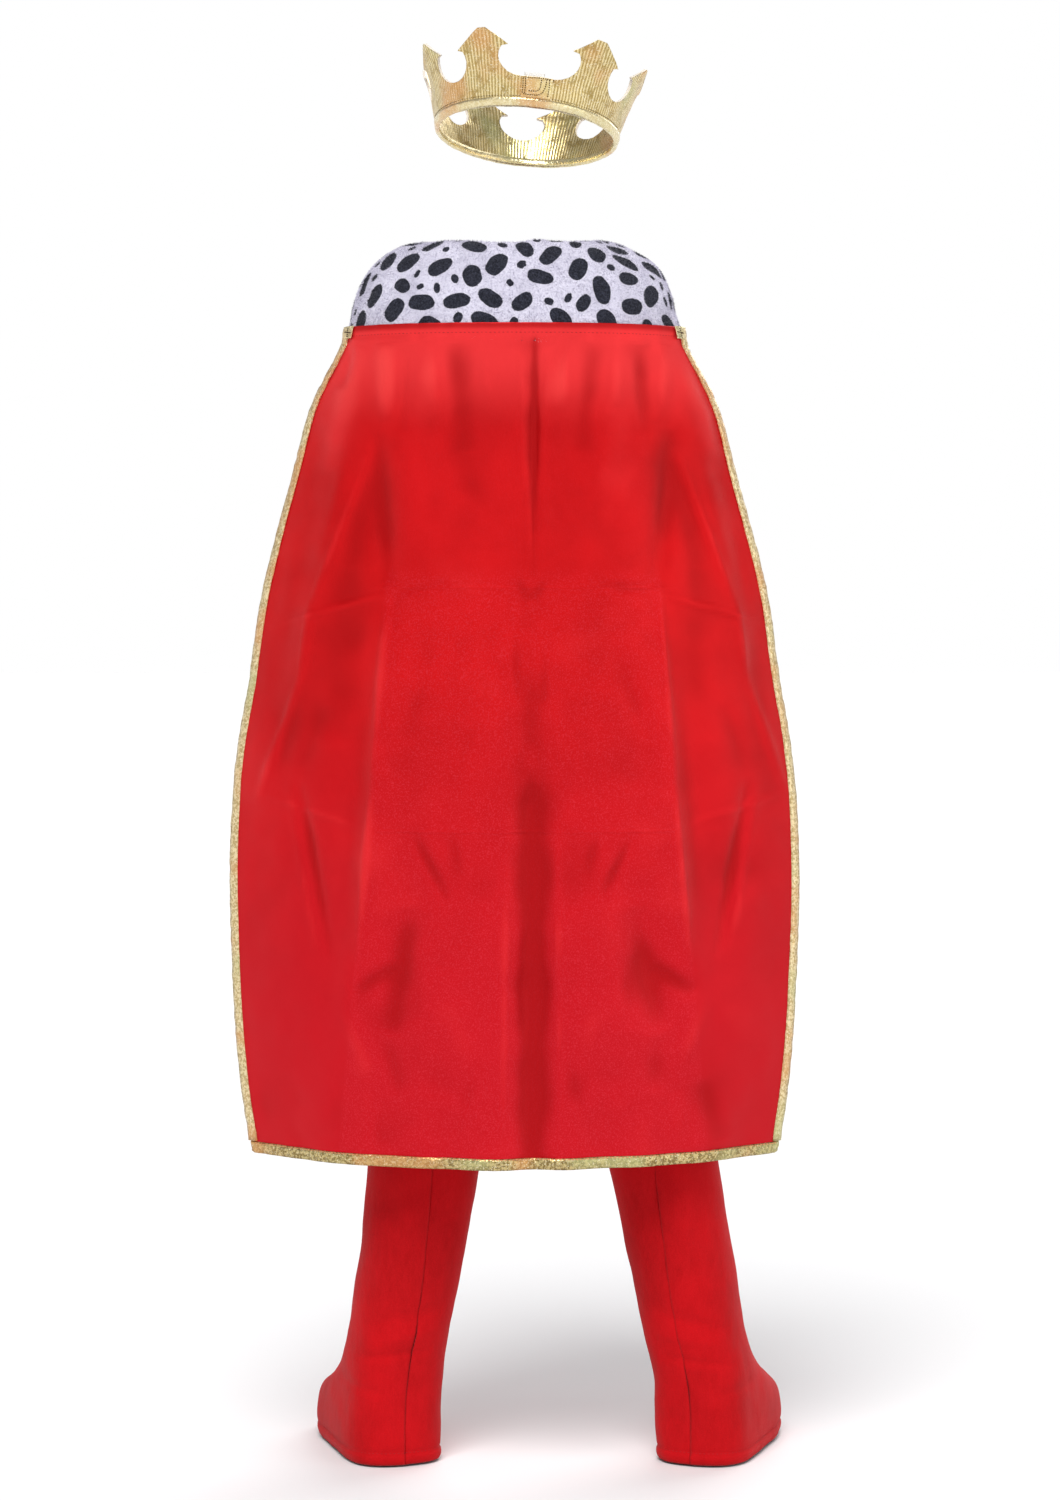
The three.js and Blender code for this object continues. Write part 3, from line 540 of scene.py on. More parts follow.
def lame(name, deep, light, painted_glint, roughness, ribbed=False):
    """Gold lame: thin metal over cloth, with painted glints on its weave and painted light and
    shade across its ribs. The crown's is drawn into fine upright ribs.
    """
    s = Shader(name)
    where = s.place()
    weave = s.noise(where, 900, 2, 0.6)
    dents = s.noise(where, 110, 3, 0.5)
    tint = s.noise(where, 17, 2)
    if ribbed:
        waver = s.noise(where, 90, 2) * 2.6
        phase = s.read("round") * (2 * math.pi / RIB_WAY) + waver
        ribs = s.node("ShaderNodeMath", {"operation": "SINE"}, phase) * 0.5 + 0.5
        ribs = ribs * s.noise(where, 130, 2).between(0.25, 0.55) * 0.75 + weave * 0.25
    else:
        ribs = s.noise(where, 400, 2, 0.6).between(0.34, 0.66)
    # The ribs' light and deep tones are painted light and shade on the crinkles, over their real
    # bump
    color = s.mix(ribs.between(0.15, 0.85), deep, light)
    color = s.mix(tint.between(0.5, 0.66) * 0.6, color, rgb(0.66, 0.31, 0.11))
    color = s.mix((1 - tint.between(0.32, 0.48)) * 0.5, color, rgb(0.50, 0.52, 0.23))
    # Painted glints on the weave
    color = s.mix(weave.between(0.56, 0.68) * 0.6, color, painted_glint)
    normal = s.bump(dents, 0.0009, 0.4)
    normal = s.bump(ribs, 0.0004, 0.6 if ribbed else 0.35, under=normal)
    rough = dents.between(0.3, 0.7) * 0.12 + roughness
    return s.surface(color, rough, normal, Metallic=0.82, Specular_IOR_Level=0.4)


def foam():
    """The pale edge of the crown's foam, where it is cut."""
    s = Shader("cut_foam")
    cells = s.noise(s.place(), 1600, 2)
    color = s.mix(cells.between(0.35, 0.65), rgb(0.62, 0.54, 0.44), rgb(0.84, 0.78, 0.70))
    return s.surface(color, 0.8, s.bump(cells, 0.0002, 0.4), Specular_IOR_Level=0.3)


def thread(name, color):
    """Sewing thread, with painted shade between its strands."""
    s = Shader(name)
    twist = s.noise(s.place(scale=(2600, 2600, 1100)), 1.0, 1)
    # Painted shade: a darker copy of the thread's colour between its strands
    tone = s.mix(twist.between(0.35, 0.65), rgb(*(part * 0.65 for part in color[:3])), color)
    return s.surface(tone, 0.7, s.bump(twist, 0.0002, 0.5), Specular_IOR_Level=0.3)


def hook_loops():
    """The tape's pale, looped face."""
    s = Shader("hook_tape")
    loops = s.noise(s.place(), 1500, 2)
    color = s.mix(loops.between(0.35, 0.6), rgb(0.62, 0.60, 0.57), rgb(0.86, 0.85, 0.82))
    return s.surface(color, 0.85, s.bump(loops, 0.0005, 0.8))


VELOUR = velour()
SATIN = satin()
PLUSH = plush()
CROWN_LAME = lame(
    "gold_lame", rgb(0.42, 0.30, 0.10), rgb(0.84, 0.69, 0.36), rgb(0.98, 0.94, 0.76), 0.26,
    ribbed=True,
)
TAB_LAME = lame(
    "gold_tab", rgb(0.68, 0.55, 0.24), rgb(0.84, 0.71, 0.37), rgb(0.98, 0.93, 0.74), 0.22
)
TRIM_LAME = lame(
    "gold_trim", rgb(0.50, 0.36, 0.16), rgb(0.80, 0.65, 0.38), rgb(0.97, 0.91, 0.68), 0.28
)
HEM_LAME = lame(
    "gold_hem", rgb(0.24, 0.17, 0.055), rgb(0.57, 0.45, 0.20), rgb(0.97, 0.90, 0.66), 0.3
)
BINDING_LAME = lame(
    "gold_binding", rgb(0.70, 0.58, 0.31), rgb(0.82, 0.71, 0.43), rgb(0.95, 0.90, 0.70), 0.2
)
FOAM = foam()
RED_THREAD = thread("red_thread", rgb(0.42, 0.008, 0.012))
GOLD_THREAD = thread("gold_thread", rgb(0.78, 0.36, 0.16))
DARK_GOLD_THREAD = thread("dark_gold_thread", rgb(0.13, 0.075, 0.022))
DARK_THREAD = thread("dark_thread", rgb(0.07, 0.04, 0.025))
HOOK_TAPE = hook_loops()


# Sewing


def model_stitch(length, thickness):
    """One stitch along X: a bead of thread whose ends are drawn down into the cloth."""
    deselect_all()
    bpy.ops.mesh.primitive_uv_sphere_add(segments=6, ring_count=4, radius=0.5)
    stitch = bpy.context.active_object
    edit_all(stitch)
    bpy.ops.transform.resize(value=(length, thickness, thickness * 0.8))
    end_edit()
    for vertex in stitch.data.vertices:
        end = abs(vertex.co.x) / (length / 2)
        vertex.co.z -= thickness * 0.45 * end**3
    return stitch


def stitches(name, runs, length, gap, material, thickness=0.6 * MM):
    """Rows of stitches along runs of points with normals."""
    pattern = model_stitch(length, thickness)
    copies = []
    for run in runs:
        spots = evenly(run, length + gap)
        for (start, up), (end, _) in zip(spots, spots[1:]):
            along = (end - start).normalized()
            side = up.cross(along).normalized()
            turn = Matrix((along, side, along.cross(side))).transposed().to_4x4()
            copy = new_object(name, pattern.data.copy())
            copy.data.transform(Matrix.Translation((start + end) / 2) @ turn)
            copies.append(copy)
    bpy.data.objects.remove(pattern)
    pick(copies[0])
    for copy in copies:
        copy.select_set(True)
    bpy.ops.object.join()
    row = bpy.context.active_object
    row.data.name = name
    return finish_piece(row, material)


def evenly(path, spacing):
    """Resamples a run of points with normals at an even spacing."""
    result = [path[0]]
    left = spacing
    for (start, up), (end, next_up) in zip(path, path[1:]):
        span = (end - start).length
        done = 0.0
        while span - done >= left:
            done += left
            share = done / span
            result.append((start.lerp(end, share), up.lerp(next_up, share).normalized()))
            left = spacing
        left -= span - done
    return result


def drawn_on(trees, starts, lookings, lift=0.0):
    """Lays a run on the first surface that is met from each start, looking the given way."""
    run = []
    for start, looking in zip(starts, lookings):
        looking = Vector(looking).normalized()
        met = []
        for tree in trees:
            hit, normal, _, distance = tree.ray_cast(start, looking)
            if hit is not None:
                met.append((distance, hit, normal))
        if met:
            _, hit, normal = min(met, key=lambda one: one[0])
            if normal.dot(looking) > 0:
                normal = -normal
            run.append((hit + normal * lift, normal))
    return run


def round_about(trees, middle, radius, steps):
    """A run round a tube at one height, met from outside."""
    starts, lookings = [], []
    for step in range(steps + 1):
        angle = 2 * math.pi * step / steps
        out = Vector((math.cos(angle), math.sin(angle), 0))
        starts.append(middle + out * radius)
        lookings.append(-out)
    return drawn_on(trees, starts, lookings)


# The suit: body, sleeves, and legs with boot covers

SEAM_SINK = 0.8 * MM
SEAM_WIDTH = 2.4 * MM
PUCKER_HEIGHT = 0.15 * MM
PUCKER_STEP = 5.5 * MM
PUCKER_WIDTH = 6 * MM
OPEN_EDGE = 7  # millimetres within which an edge counts as lying at an open height
HEM_STITCH = 10  # the legs' hems are stitched this far above the floor
HEM_WELT = 1.3 * MM  # and are this much thicker below the stitches
HEM_GROOVE = 0.7 * MM
CUFF_STITCH = 592
CUFF_GROOVE = 0.5 * MM
FRONT_LEG = 1.3  # the creases' depth in front of a leg, against the back's
UNDER_SLEEVE = 0.45  # and under a sleeve, against its top's


def sink_seams(piece, open_heights):
    """Draws a panel in along its sewn edges. Edges at the open heights are hems, and stay."""
    points = points_of(piece)
    heights = heights_of(points)
    sewn = [
        points[v] for v in edge_points(piece)
        if not any(abs(heights[v] - height) < OPEN_EDGE for height in open_heights)
    ]
    away = distances_from(points, sewn)
    pucker = np.sin(points[:, 2] / PUCKER_STEP) * PUCKER_HEIGHT * bell(away, PUCKER_WIDTH)
    raise_surface(piece, -SEAM_SINK * bell(away, SEAM_WIDTH) + pucker)


# Seen from behind: creases of the calves, ankles and boots
LEFT_LEG_CREASES = [
    Crease(52, 250, 118, 214, 8, -1.8),
    Crease(60, 190, 120, 176, 7, -1.3),
    Crease(58, 132, 128, 118, 5, -2.0),
    Crease(62, 116, 130, 98, 6, 1.8),
    Crease(70, 96, 135, 88, 4, -1.7),
    Crease(84, 330, 92, 150, 10, 1.8),
    Crease(60, 300, 74, 160, 8, -1.5),
    Crease(108, 60, 150, 66, 5, -1.3),
    Crease(40, 430, 96, 400, 9, -2.0),
    Crease(44, 380, 90, 372, 8, 1.6),
]
RIGHT_LEG_CREASES = [
    Crease(-92, 262, -158, 240, 9, -1.7),
    Crease(-108, 178, -170, 196, 7, -1.4),
    Crease(-116, 128, -182, 112, 5, -1.9),
    Crease(-120, 108, -186, 100, 6, 1.7),
    Crease(-122, 90, -188, 82, 4, -1.6),
    Crease(-132, 320, -140, 160, 10, 1.8),
    Crease(-112, 300, -122, 180, 8, -1.5),
    Crease(-166, 58, -206, 64, 5, -1.3),
    Crease(-60, 436, -128, 404, 9, -2.0),
    Crease(-66, 388, -120, 376, 8, 1.6),
]
BODY_FRONT_CREASES = [
    Crease(-78, 918, -34, 790, 12, -3.2),
    Crease(74, 914, 30, 770, 13, -3.0),
    Crease(-96, 870, -70, 760, 9, 2.2),
    Crease(92, 866, 64, 752, 9, 2.2),
    Crease(-100, 748, -14, 724, 9, -3.6),
    Crease(86, 756, 6, 730, 10, -3.4),
    Crease(-94, 706, -26, 694, 8, 2.6),
    Crease(80, 700, 14, 708, 9, 2.4),
    Crease(-98, 676, -44, 662, 7, -2.4),
    Crease(84, 672, 30, 668, 8, -2.2),
    Crease(-52, 610, -14, 512, 10, -3.4),
    Crease(20, 606, -12, 512, 10, -3.4),
    Crease(-110, 568, -40, 528, 9, -2.6),
    Crease(76, 570, 14, 530, 9, -2.6),
    Crease(-84, 540, -30, 514, 7, 2.0),
    Crease(54, 540, 2, 514, 7, 2.0),
    Crease(-16, 900, -18, 640, 16, 1.6),
]
BODY_BACK_CREASES = [
    Crease(-84, 910, -40, 810, 12, -2.8),
    Crease(82, 906, 42, 806, 12, -2.8),
    Crease(-96, 744, -18, 716, 9, -3.2),
    Crease(88, 740, 10, 720, 9, -3.2),
    Crease(-90, 700, -30, 690, 8, 2.2),
    Crease(82, 698, 20, 694, 8, 2.2),
    Crease(-74, 590, -24, 520, 10, -3.0),
    Crease(54, 592, -8, 522, 10, -3.0),
]
# Both sleeves: here x counts outwards from the body's middle
SLEEVE_CREASES = [
    Crease(100, 886, 150, 872, 7, -3.0),
    Crease(104, 862, 160, 840, 8, -2.8),
    Crease(118, 842, 164, 816, 7, 2.0),
    Crease(134, 796, 180, 772, 7, -3.0),
    Crease(138, 768, 186, 752, 6, -3.2),
    Crease(142, 752, 182, 730, 6, 2.4),
    Crease(144, 726, 190, 716, 7, -2.6),
    Crease(150, 690, 200, 676, 8, 1.8),
    Crease(156, 656, 206, 634, 7, -2.2),
    Crease(168, 614, 214, 606, 6, -2.0),
]
BACKWARDS = (0, -1, 0)
FORWARDS = (0, 1, 0)
TO_LEFT = (1, 0, 0)
TO_RIGHT = (-1, 0, 0)
# Heights at which a panel's edge is open and not sewn
NECK_RIM = [1001, 1004, 984, 994]
CUFF_RIM = [579.5]
SOLE_RIM = [0]

# Node, where it is looked at from and which way, its creases, its open edges, and the cut's sides
Panel = namedtuple("Panel", "node start looking creases open_heights flat")
SUIT_PANELS = [
    Panel("suit_front", (-5, -500, 760), FORWARDS, BODY_FRONT_CREASES, NECK_RIM, (0.31, 0.53)),
    Panel("suit_back_left", (40, 500, 760), BACKWARDS, BODY_BACK_CREASES, NECK_RIM, (0.17, 0.53)),
    Panel("suit_back_right", (-50, 500, 760), BACKWARDS, BODY_BACK_CREASES, NECK_RIM, (0.17, 0.53)),
    Panel("leg_left_outer", (500, -15, 260), TO_RIGHT, LEFT_LEG_CREASES, SOLE_RIM, (0.30, 0.56)),
    Panel("leg_left_inner", (0, -12, 260), TO_LEFT, LEFT_LEG_CREASES, SOLE_RIM, (0.30, 0.56)),
    Panel("leg_right_outer", (-500, -15, 260), TO_LEFT, RIGHT_LEG_CREASES, SOLE_RIM, (0.30, 0.56)),
    Panel("leg_right_inner", (-25, -12, 260), TO_RIGHT, RIGHT_LEG_CREASES, SOLE_RIM, (0.30, 0.56)),
    Panel("sleeve_left_top", (500, -5, 760), TO_RIGHT, SLEEVE_CREASES, CUFF_RIM, (0.13, 0.42)),
    Panel("sleeve_left_under", (100, -5, 700), TO_LEFT, SLEEVE_CREASES, CUFF_RIM, (0.13, 0.36)),
    Panel("sleeve_right_top", (-500, -5, 760), TO_LEFT, SLEEVE_CREASES, CUFF_RIM, (0.13, 0.42)),
    Panel("sleeve_right_under", (-100, -5, 700), TO_RIGHT, SLEEVE_CREASES, CUFF_RIM, (0.13, 0.36)),
]


def sew_panel(panel, seed):
    """Makes one panel from its solid's outer face: creased, drawn in at its seams, and thick."""
    piece = outer_face(panel.node, f"cloth_{panel.node}", placed(*panel.start), panel.looking)
    subdivide_smoothly(piece, 3)
    points, normals = points_and_normals(piece)
    heights = heights_of(points)
    if panel.node.startswith("suit"):
        facing = -(normals @ np.array(panel.looking))
        amounts = crease_heights(points, panel.creases) * smooth_step(facing, 0.0, 0.5)
    elif panel.node.startswith("leg"):
        amounts = crease_heights(points, panel.creases) * smooth_step(normals[:, 1], -0.2, 0.4)
        front = [
            crease._replace(h1=crease.h1 + 14, h2=crease.h2 + 6, rise=crease.rise * FRONT_LEG)
            for crease in panel.creases
        ]
        amounts += crease_heights(points, front) * smooth_step(-normals[:, 1], -0.1, 0.5)
        welt = np.sin(np.pi * np.clip(heights / HEM_STITCH, 0, 1)) ** 0.7
        amounts += HEM_WELT * welt - HEM_GROOVE * bell(heights - HEM_STITCH, 1.6)
    else:
        outwards = points * np.array([math.copysign(1, points[0][0]), 1, 1])
        facing = np.abs(normals[:, 1])
        amounts = crease_heights(outwards, panel.creases) * smooth_step(facing, -0.1, 0.6)
        amounts *= UNDER_SLEEVE if "under" in panel.node else 1.0
        amounts -= CUFF_GROOVE * bell(heights - CUFF_STITCH, 1.8)
    raise_surface(piece, amounts + rumple(points, 46, 1.6, seed) + rumple(points, 17, 0.5, seed))
    sink_seams(piece, panel.open_heights)
    thicken(piece, SUIT_CLOTH)
    finish_piece(piece, VELOUR, [panel.node])
    most = panel.flat[0] * panel.flat[1]
    return piece


suit_cloth = {}
for number, panel in enumerate(SUIT_PANELS):
    suit_cloth[panel.node] = sew_panel(panel, 1.7 * number)

# The hems of boot covers and sleeves, stitched all round: the panels, the middle of the tube, how
# far off its cloth is looked for, and in how many steps
HEMS = [
    (("leg_left_outer", "leg_left_inner"), (106, -50, HEM_STITCH), 0.22, 180),
    (("leg_right_outer", "leg_right_inner"), (-163, -50, HEM_STITCH), 0.22, 180),
    (("sleeve_left_top", "sleeve_left_under"), (199, -21, CUFF_STITCH), 0.06, 90),
    (("sleeve_right_top", "sleeve_right_under"), (-199, -21, CUFF_STITCH), 0.06, 90),
]
hem_runs = []
for halves, middle, radius, steps in HEMS:
    trees = [tree_of(suit_cloth[half]) for half in halves]
    hem_runs.append(round_about(trees, placed(*middle), radius, steps))
stitches("stitches_hems", hem_runs, 2.6 * MM, 1.0 * MM, RED_THREAD)


# The cape

CAPE_TOP = 951
BAND_LOW = 943  # the lower edge of the stitched band along the top
BAND_RISE = 0.4 * MM
BAND_GROOVE = 0.25 * MM
GATHER_RISE = 0.22 * MM
HEM_WAVE = 0.5 * MM
RELIEF_FULL = 3.0  # folds this high or deep get the satin's full painted highlight or painted shade
TRIM_PAINTED_SHADOW = 0.45  # how much darker the painted shadow makes the satin beside its binding
CAPE_CREASES_MIRRORED = [
    # soft folds that hang from the top band
    Crease(131, 934, 163, 832, 10, 2.2),
    Crease(115, 936, 112, 872, 8, 1.9),
    Crease(94, 934, 99, 862, 7, -2.1),
    Crease(76, 936, 74, 884, 7, 1.3),
    Crease(58, 934, 46, 846, 10, -2.2),
    Crease(36, 940, 26, 880, 8, 1.5),
    Crease(141, 942, 149, 900, 5, -1.8),
    Crease(66, 880, 30, 790, 14, -1.2),
    Crease(92, 850, 84, 780, 12, 0.8),
    # the dark hollow below the shoulders, and the long ridge outside it
    Crease(122, 866, 111, 738, 8, -2.3),
    Crease(128, 840, 150, 722, 12, -2.0),
    Crease(140, 752, 148, 610, 19, -1.7),
    Crease(188, 690, 208, 528, 13, -1.5),
    Crease(125, 852, 176, 719, 3.6, 2.1),
    Crease(176, 726, 186, 656, 3.4, 1.8),
    Crease(185, 664, 224, 556, 3.4, 1.9),
    Crease(186, 800, 204, 690, 9, 0.9),
    # the edge of the flat back panel, where the cape turns forwards
    Crease(110, 744, 124, 578, 3, 2.0),
    Crease(122, 590, 137, 424, 3, 2.0),
    Crease(128, 640, 146, 440, 7, -1.2),
    # slanted folds by the sides
    Crease(187, 580, 160, 432, 4.5, -2.4),
    Crease(195, 574, 170, 430, 4, 1.2),
    Crease(166, 640, 186, 580, 7, -1.2),
    # hollows low on the back
    Crease(92, 474, 110, 372, 11, -3.0),
    Crease(106, 426, 142, 402, 7, -2.2),
    Crease(84, 436, 88, 374, 9, -1.4),
    Crease(152, 400, 127, 336, 8, 1.6),
    Crease(91, 538, 62, 480, 4.5, -2.0),
    Crease(60, 536, 52, 500, 6, -1.1),
    Crease(112, 366, 104, 322, 8, -1.2),
    Crease(102, 318, 24, 304, 15, 1.1),
    Crease(60, 400, 44, 340, 10, 0.8),
    Crease(36, 350, 58, 276, 7, -1.1),
    Crease(148, 330, 166, 278, 9, -1.3),
    Crease(126, 322, 132, 268, 7, 1.2),
    # soft dents across the middle panel
    Crease(30, 650, 62, 565, 8, -0.9),
    Crease(44, 556, 84, 642, 9, 0.8),
    Crease(70, 704, 98, 612, 9, -0.9),
    Crease(58, 739, 104, 733, 4, -1.5),
    # ironed-in lines that slant away to the sides
    Crease(104, 733, 214, 704, 2.6, 1.1),
    Crease(134, 540, 222, 566, 2.8, 0.9),
]
CAPE_CREASES = [
    Crease(-17, 960, -16, 742, 2.8, -2.4),
    Crease(-15, 950, -15, 780, 10, -1.9),
    Crease(-27, 930, -22, 812, 4.5, 0.9),
    Crease(-3, 930, -8, 812, 4.5, 0.9),
    Crease(-26, 742, -15, 724, 5, -1.4),
    Crease(-2, 742, -13, 724, 5, -1.4),
    Crease(-14, 728, -14, 620, 15, -1.1),
    Crease(-1, 700, -2, 640, 4, -0.9),
    Crease(-26, 700, -25, 640, 4, -0.9),
    Crease(-14, 668, -14, 532, 14, -2.5),
    Crease(-14, 610, -14, 562, 6, 1.2),
    Crease(-14, 590, -14, 538, 4, -1.6),
    Crease(-35, 548, -37, 262, 4, 1.5),
    Crease(7, 548, 9, 262, 4, 1.5),
    Crease(-15, 578, -15, 232, 12, -3.9),
]

cape = outer_face("cape", "cloth_cape", placed(0, 500, 660), BACKWARDS)


def cape_edge_lines(piece):
    """The coarse cape's two side edges and its hem, each a line of points."""
    points = points_of(piece)
    rows = {}
    for v in edge_points(piece):
        rows.setdefault(round(points[v][2], 5), []).append(points[v])
    heights = sorted(rows)
    left = [max(rows[h], key=lambda p: p[0]) for h in heights]
    right = [min(rows[h], key=lambda p: p[0]) for h in heights]
    return left, right, sorted(rows[heights[0]], key=lambda p: p[0])


UPRIGHT = 0.6  # the share of its length that an upright side rises by


def cut_down(piece, cuts):
    """Cuts across the long upright sides of a piece's faces."""
    points = points_of(piece)
    clear_selection(piece, "EDGE")
    for edge in piece.data.edges:
        step = points[edge.vertices[0]] - points[edge.vertices[1]]
        edge.select = abs(step[2]) > UPRIGHT * np.linalg.norm(step)
    bpy.ops.object.mode_set(mode="EDIT")
    bpy.ops.mesh.subdivide(number_cuts=cuts)
    bpy.ops.mesh.select_mode(type="FACE")
    end_edit()


def rounded(point):
    return tuple(round(part, 6) for part in point)


# The faces along each bound edge are marked by their material's number, for the binding to copy
MARKS = ["left", "right", "hem", "cloth"]
NEAR_EDGE = 1.6 * MM  # rim points this close to the coarse edge line lie on that edge
cape_edges = dict(zip(MARKS, cape_edge_lines(cape)))
for mark in MARKS:
    cape.data.materials.append(bpy.data.materials.new(f"mark_{mark}"))
edge_corners = [{rounded(point) for point in line} for line in cape_edges.values()]
for face in cape.data.polygons:
    corners = {rounded(cape.data.vertices[v].co) for v in face.vertices}
    face.material_index = MARKS.index("cloth")
    for number, on_edge in enumerate(edge_corners):
        if len(corners & on_edge) > 1:
            face.material_index = number
subdivide_smoothly(cape, 2)
cut_down(cape, 2)
flat_cape = points_of(cape)
rim = flat_cape[edge_points(cape)]
for mark, line in cape_edges.items():
    close = rim[distances_from(rim, dense_line(line)) < NEAR_EDGE]
    store(cape, f"from_{mark}", distances_from(flat_cape, close))


def shape_cape(piece):
    """Folds the cape, and stores the satin's painted light and shade: lighter on ridges, darker in
    troughs, under the top edge and beside the binding.
    """
    points = points_of(piece)
    heights = heights_of(points)
    from_side = np.minimum(stored(piece, "from_left"), stored(piece, "from_right"))
    from_hem = stored(piece, "from_hem")
    amounts = crease_heights(points, CAPE_CREASES_MIRRORED, mirror_at=FOLD_MIDDLE)
    amounts += crease_heights(points, CAPE_CREASES)
    amounts += rumple(points, 62, 1.8, 4.0) + rumple(points, 22, 0.6, 5.0)
    amounts *= 0.35 + 0.65 * smooth_step(from_side, 6 * MM, 26 * MM)
    amounts *= smooth_step(CAPE_TOP - heights, 5, 20)
    relief = np.clip(amounts / (RELIEF_FULL * MM), -1, 1)
    # Painted shadow along the cape's top edge, under the collar
    relief -= smooth_step(heights, CAPE_TOP - 8, CAPE_TOP - 1)
    # Painted shadow on the satin beside its binding
    relief -= TRIM_PAINTED_SHADOW * (1 - smooth_step(np.minimum(from_side, from_hem), 7 * MM, 12 * MM))
    store(piece, "relief", relief)
    band = smooth_step(heights, BAND_LOW - 3, BAND_LOW + 3)
    groove = bell(heights - BAND_LOW, 2.4)
    gathers = np.sin(points[:, 0] / (3.3 * MM)) + 0.6 * np.sin(points[:, 0] / (1.9 * MM) + 1)
    gathered = smooth_step(heights, 915, 942)
    hem_wave = np.sin(points[:, 0] / (9 * MM)) * smooth_step(30 * MM - from_hem, 0, 20 * MM)
    amounts += band * BAND_RISE - groove * BAND_GROOVE
    amounts += gathers * gathered * GATHER_RISE + hem_wave * HEM_WAVE
    raise_surface(piece, amounts)


shape_cape(cape)


def run_along(piece, attribute_name, wanted, axis, step):
    """A run of points that lie the wanted distance in from an edge, in order along an axis."""
    points, normals = points_and_normals(piece)
    distance = stored(piece, attribute_name)
    best = {}
    for v in np.flatnonzero(np.abs(distance - wanted) < 1.5 * MM):
        key = round(points[v][axis] / step)
        if key not in best or abs(distance[v] - wanted) < abs(distance[best[key]] - wanted):
            best[key] = v
    return [(Vector(points[best[key]]), Vector(normals[best[key]])) for key in sorted(best)]


# The binding: the marked faces, copied, pushed past the edge and thickened round the cape

BINDING_CLOTH = 1.0 * MM
# The binding is folded narrower than the solids' plain strips: the part of their width that is kept
TRIM_SHARES = {"left": 0.72, "right": 0.72, "hem": 0.58}
SIDE_TAIL = 5.4 * MM  # the sides' binding runs on down behind the hem's
EDGE_REACH = 0.2 * MM  # points nearer the edge than this are the edge itself
EDGE_PUSH = 1.2 * MM
BINDING_SWELL = 0.5 * MM
BINDING_TWIST = 0.14 * MM
FOLDED_IN = 0.75 * MM
TAIL_TUCK = 0.4 * MM
SEWN_AT = 0.84  # the share of the binding's width that its stitches lie in from the edge


def bind(part, axis, seed):
    """Binds one edge of the cape, and returns the binding and the run of its stitches."""
    strip = new_object(f"binding_{part}", cape.data.copy())
    clear_selection(strip, "FACE")
    for face in strip.data.polygons:
        face.select = face.material_index != MARKS.index(part)
    bpy.ops.object.mode_set(mode="EDIT")
    bpy.ops.mesh.delete(type="FACE")
    end_edit()
    points = points_of(strip)
    distance = stored(strip, f"from_{part}")
    outer = set(np.flatnonzero(distance < EDGE_REACH).tolist())
    moved = points.copy()
    for a, b in strip.data.edge_keys:
        for v, inner in ((a, b), (b, a)):
            if v in outer and inner not in outer:
                step = points[v] - points[inner]
                moved[v] = points[v] + step / np.linalg.norm(step) * EDGE_PUSH
    edge_tree = point_tree(points[sorted(outer)])
    for v in np.flatnonzero(distance >= EDGE_REACH):
        nearest = np.array(edge_tree.find(points[v])[0])
        moved[v] += (nearest - points[v]) * (1 - TRIM_SHARES[part])
    tail = points[:, 2] < points[:, 2].min() + 0.5 * MM
    if part == "hem":
        tail[:] = False
    moved[tail, 2] -= SIDE_TAIL
    set_points(strip, moved)
    across = np.clip(distance / distance.max(), 0, 1)
    amounts = BINDING_CLOTH + BINDING_SWELL * np.sin(np.pi * across)
    amounts += np.sin((points[:, axis] + distance * 0.8) / (2.6 * MM)) * BINDING_TWIST
    amounts -= FOLDED_IN * smooth_step(across, 0.8, 1.0) + TAIL_TUCK * tail
    raise_surface(strip, amounts + rumple(points, 7, 0.5, seed) + rumple(points, 3, 0.3, seed))
    run = run_along(strip, f"from_{part}", SEWN_AT * distance.max(), axis, 3 * MM)
    thicken(strip, CAPE_CLOTH + 2 * BINDING_CLOTH)
    gold = HEM_LAME if part == "hem" else TRIM_LAME
    finish_piece(strip, gold, [f"trim_{part}"])
    return strip, [(point + normal * 0.1 * MM, normal) for point, normal in evenly(run, 2 * MM)]


trim_left, left_run = bind("left", 2, 11)
trim_right, right_run = bind("right", 2, 12)
trim_hem, hem_run = bind("hem", 0, 13)
trim_stitches = stitches(
    "stitches_binding", [left_run, right_run, hem_run], 3.0 * MM, 0.4 * MM, GOLD_THREAD,
    0.9 * MM,
)

# The stitching under the band along the cape's top, which stops short of the binding
BAND_ENDS = 3
cape_points, cape_normals = points_and_normals(cape)
row_z = min(set(np.round(flat_cape[:, 2], 4)), key=lambda z: abs(z - z_at(BAND_LOW)))
band_row = np.flatnonzero(np.abs(flat_cape[:, 2] - row_z) < 0.6 * MM)
band_row = sorted(band_row, key=lambda v: cape_points[v][0])
band_row = band_row[BAND_ENDS:-BAND_ENDS]
band_run = [(Vector(cape_points[v]), Vector(cape_normals[v])) for v in band_row]
band_stitches = stitches(
    "stitches_cape_band", [band_run], 2.6 * MM, 0.9 * MM, RED_THREAD
)
thicken(cape, CAPE_CLOTH)
finish_piece(cape, SATIN, ["cape"])


# The collar

collar = outer_face("collar", "plush_collar", placed(50, 500, 968), BACKWARDS)
subdivide_smoothly(collar, 3)
collar_points = points_of(collar)
free = smooth_step(heights_of(collar_points), 950, 972)  # its lower edge is sewn down
wave = rumple(collar_points, 36, 3.0, 2.0) + rumple(collar_points, 14, 1.0, 3.0)
raise_surface(collar, wave * free)

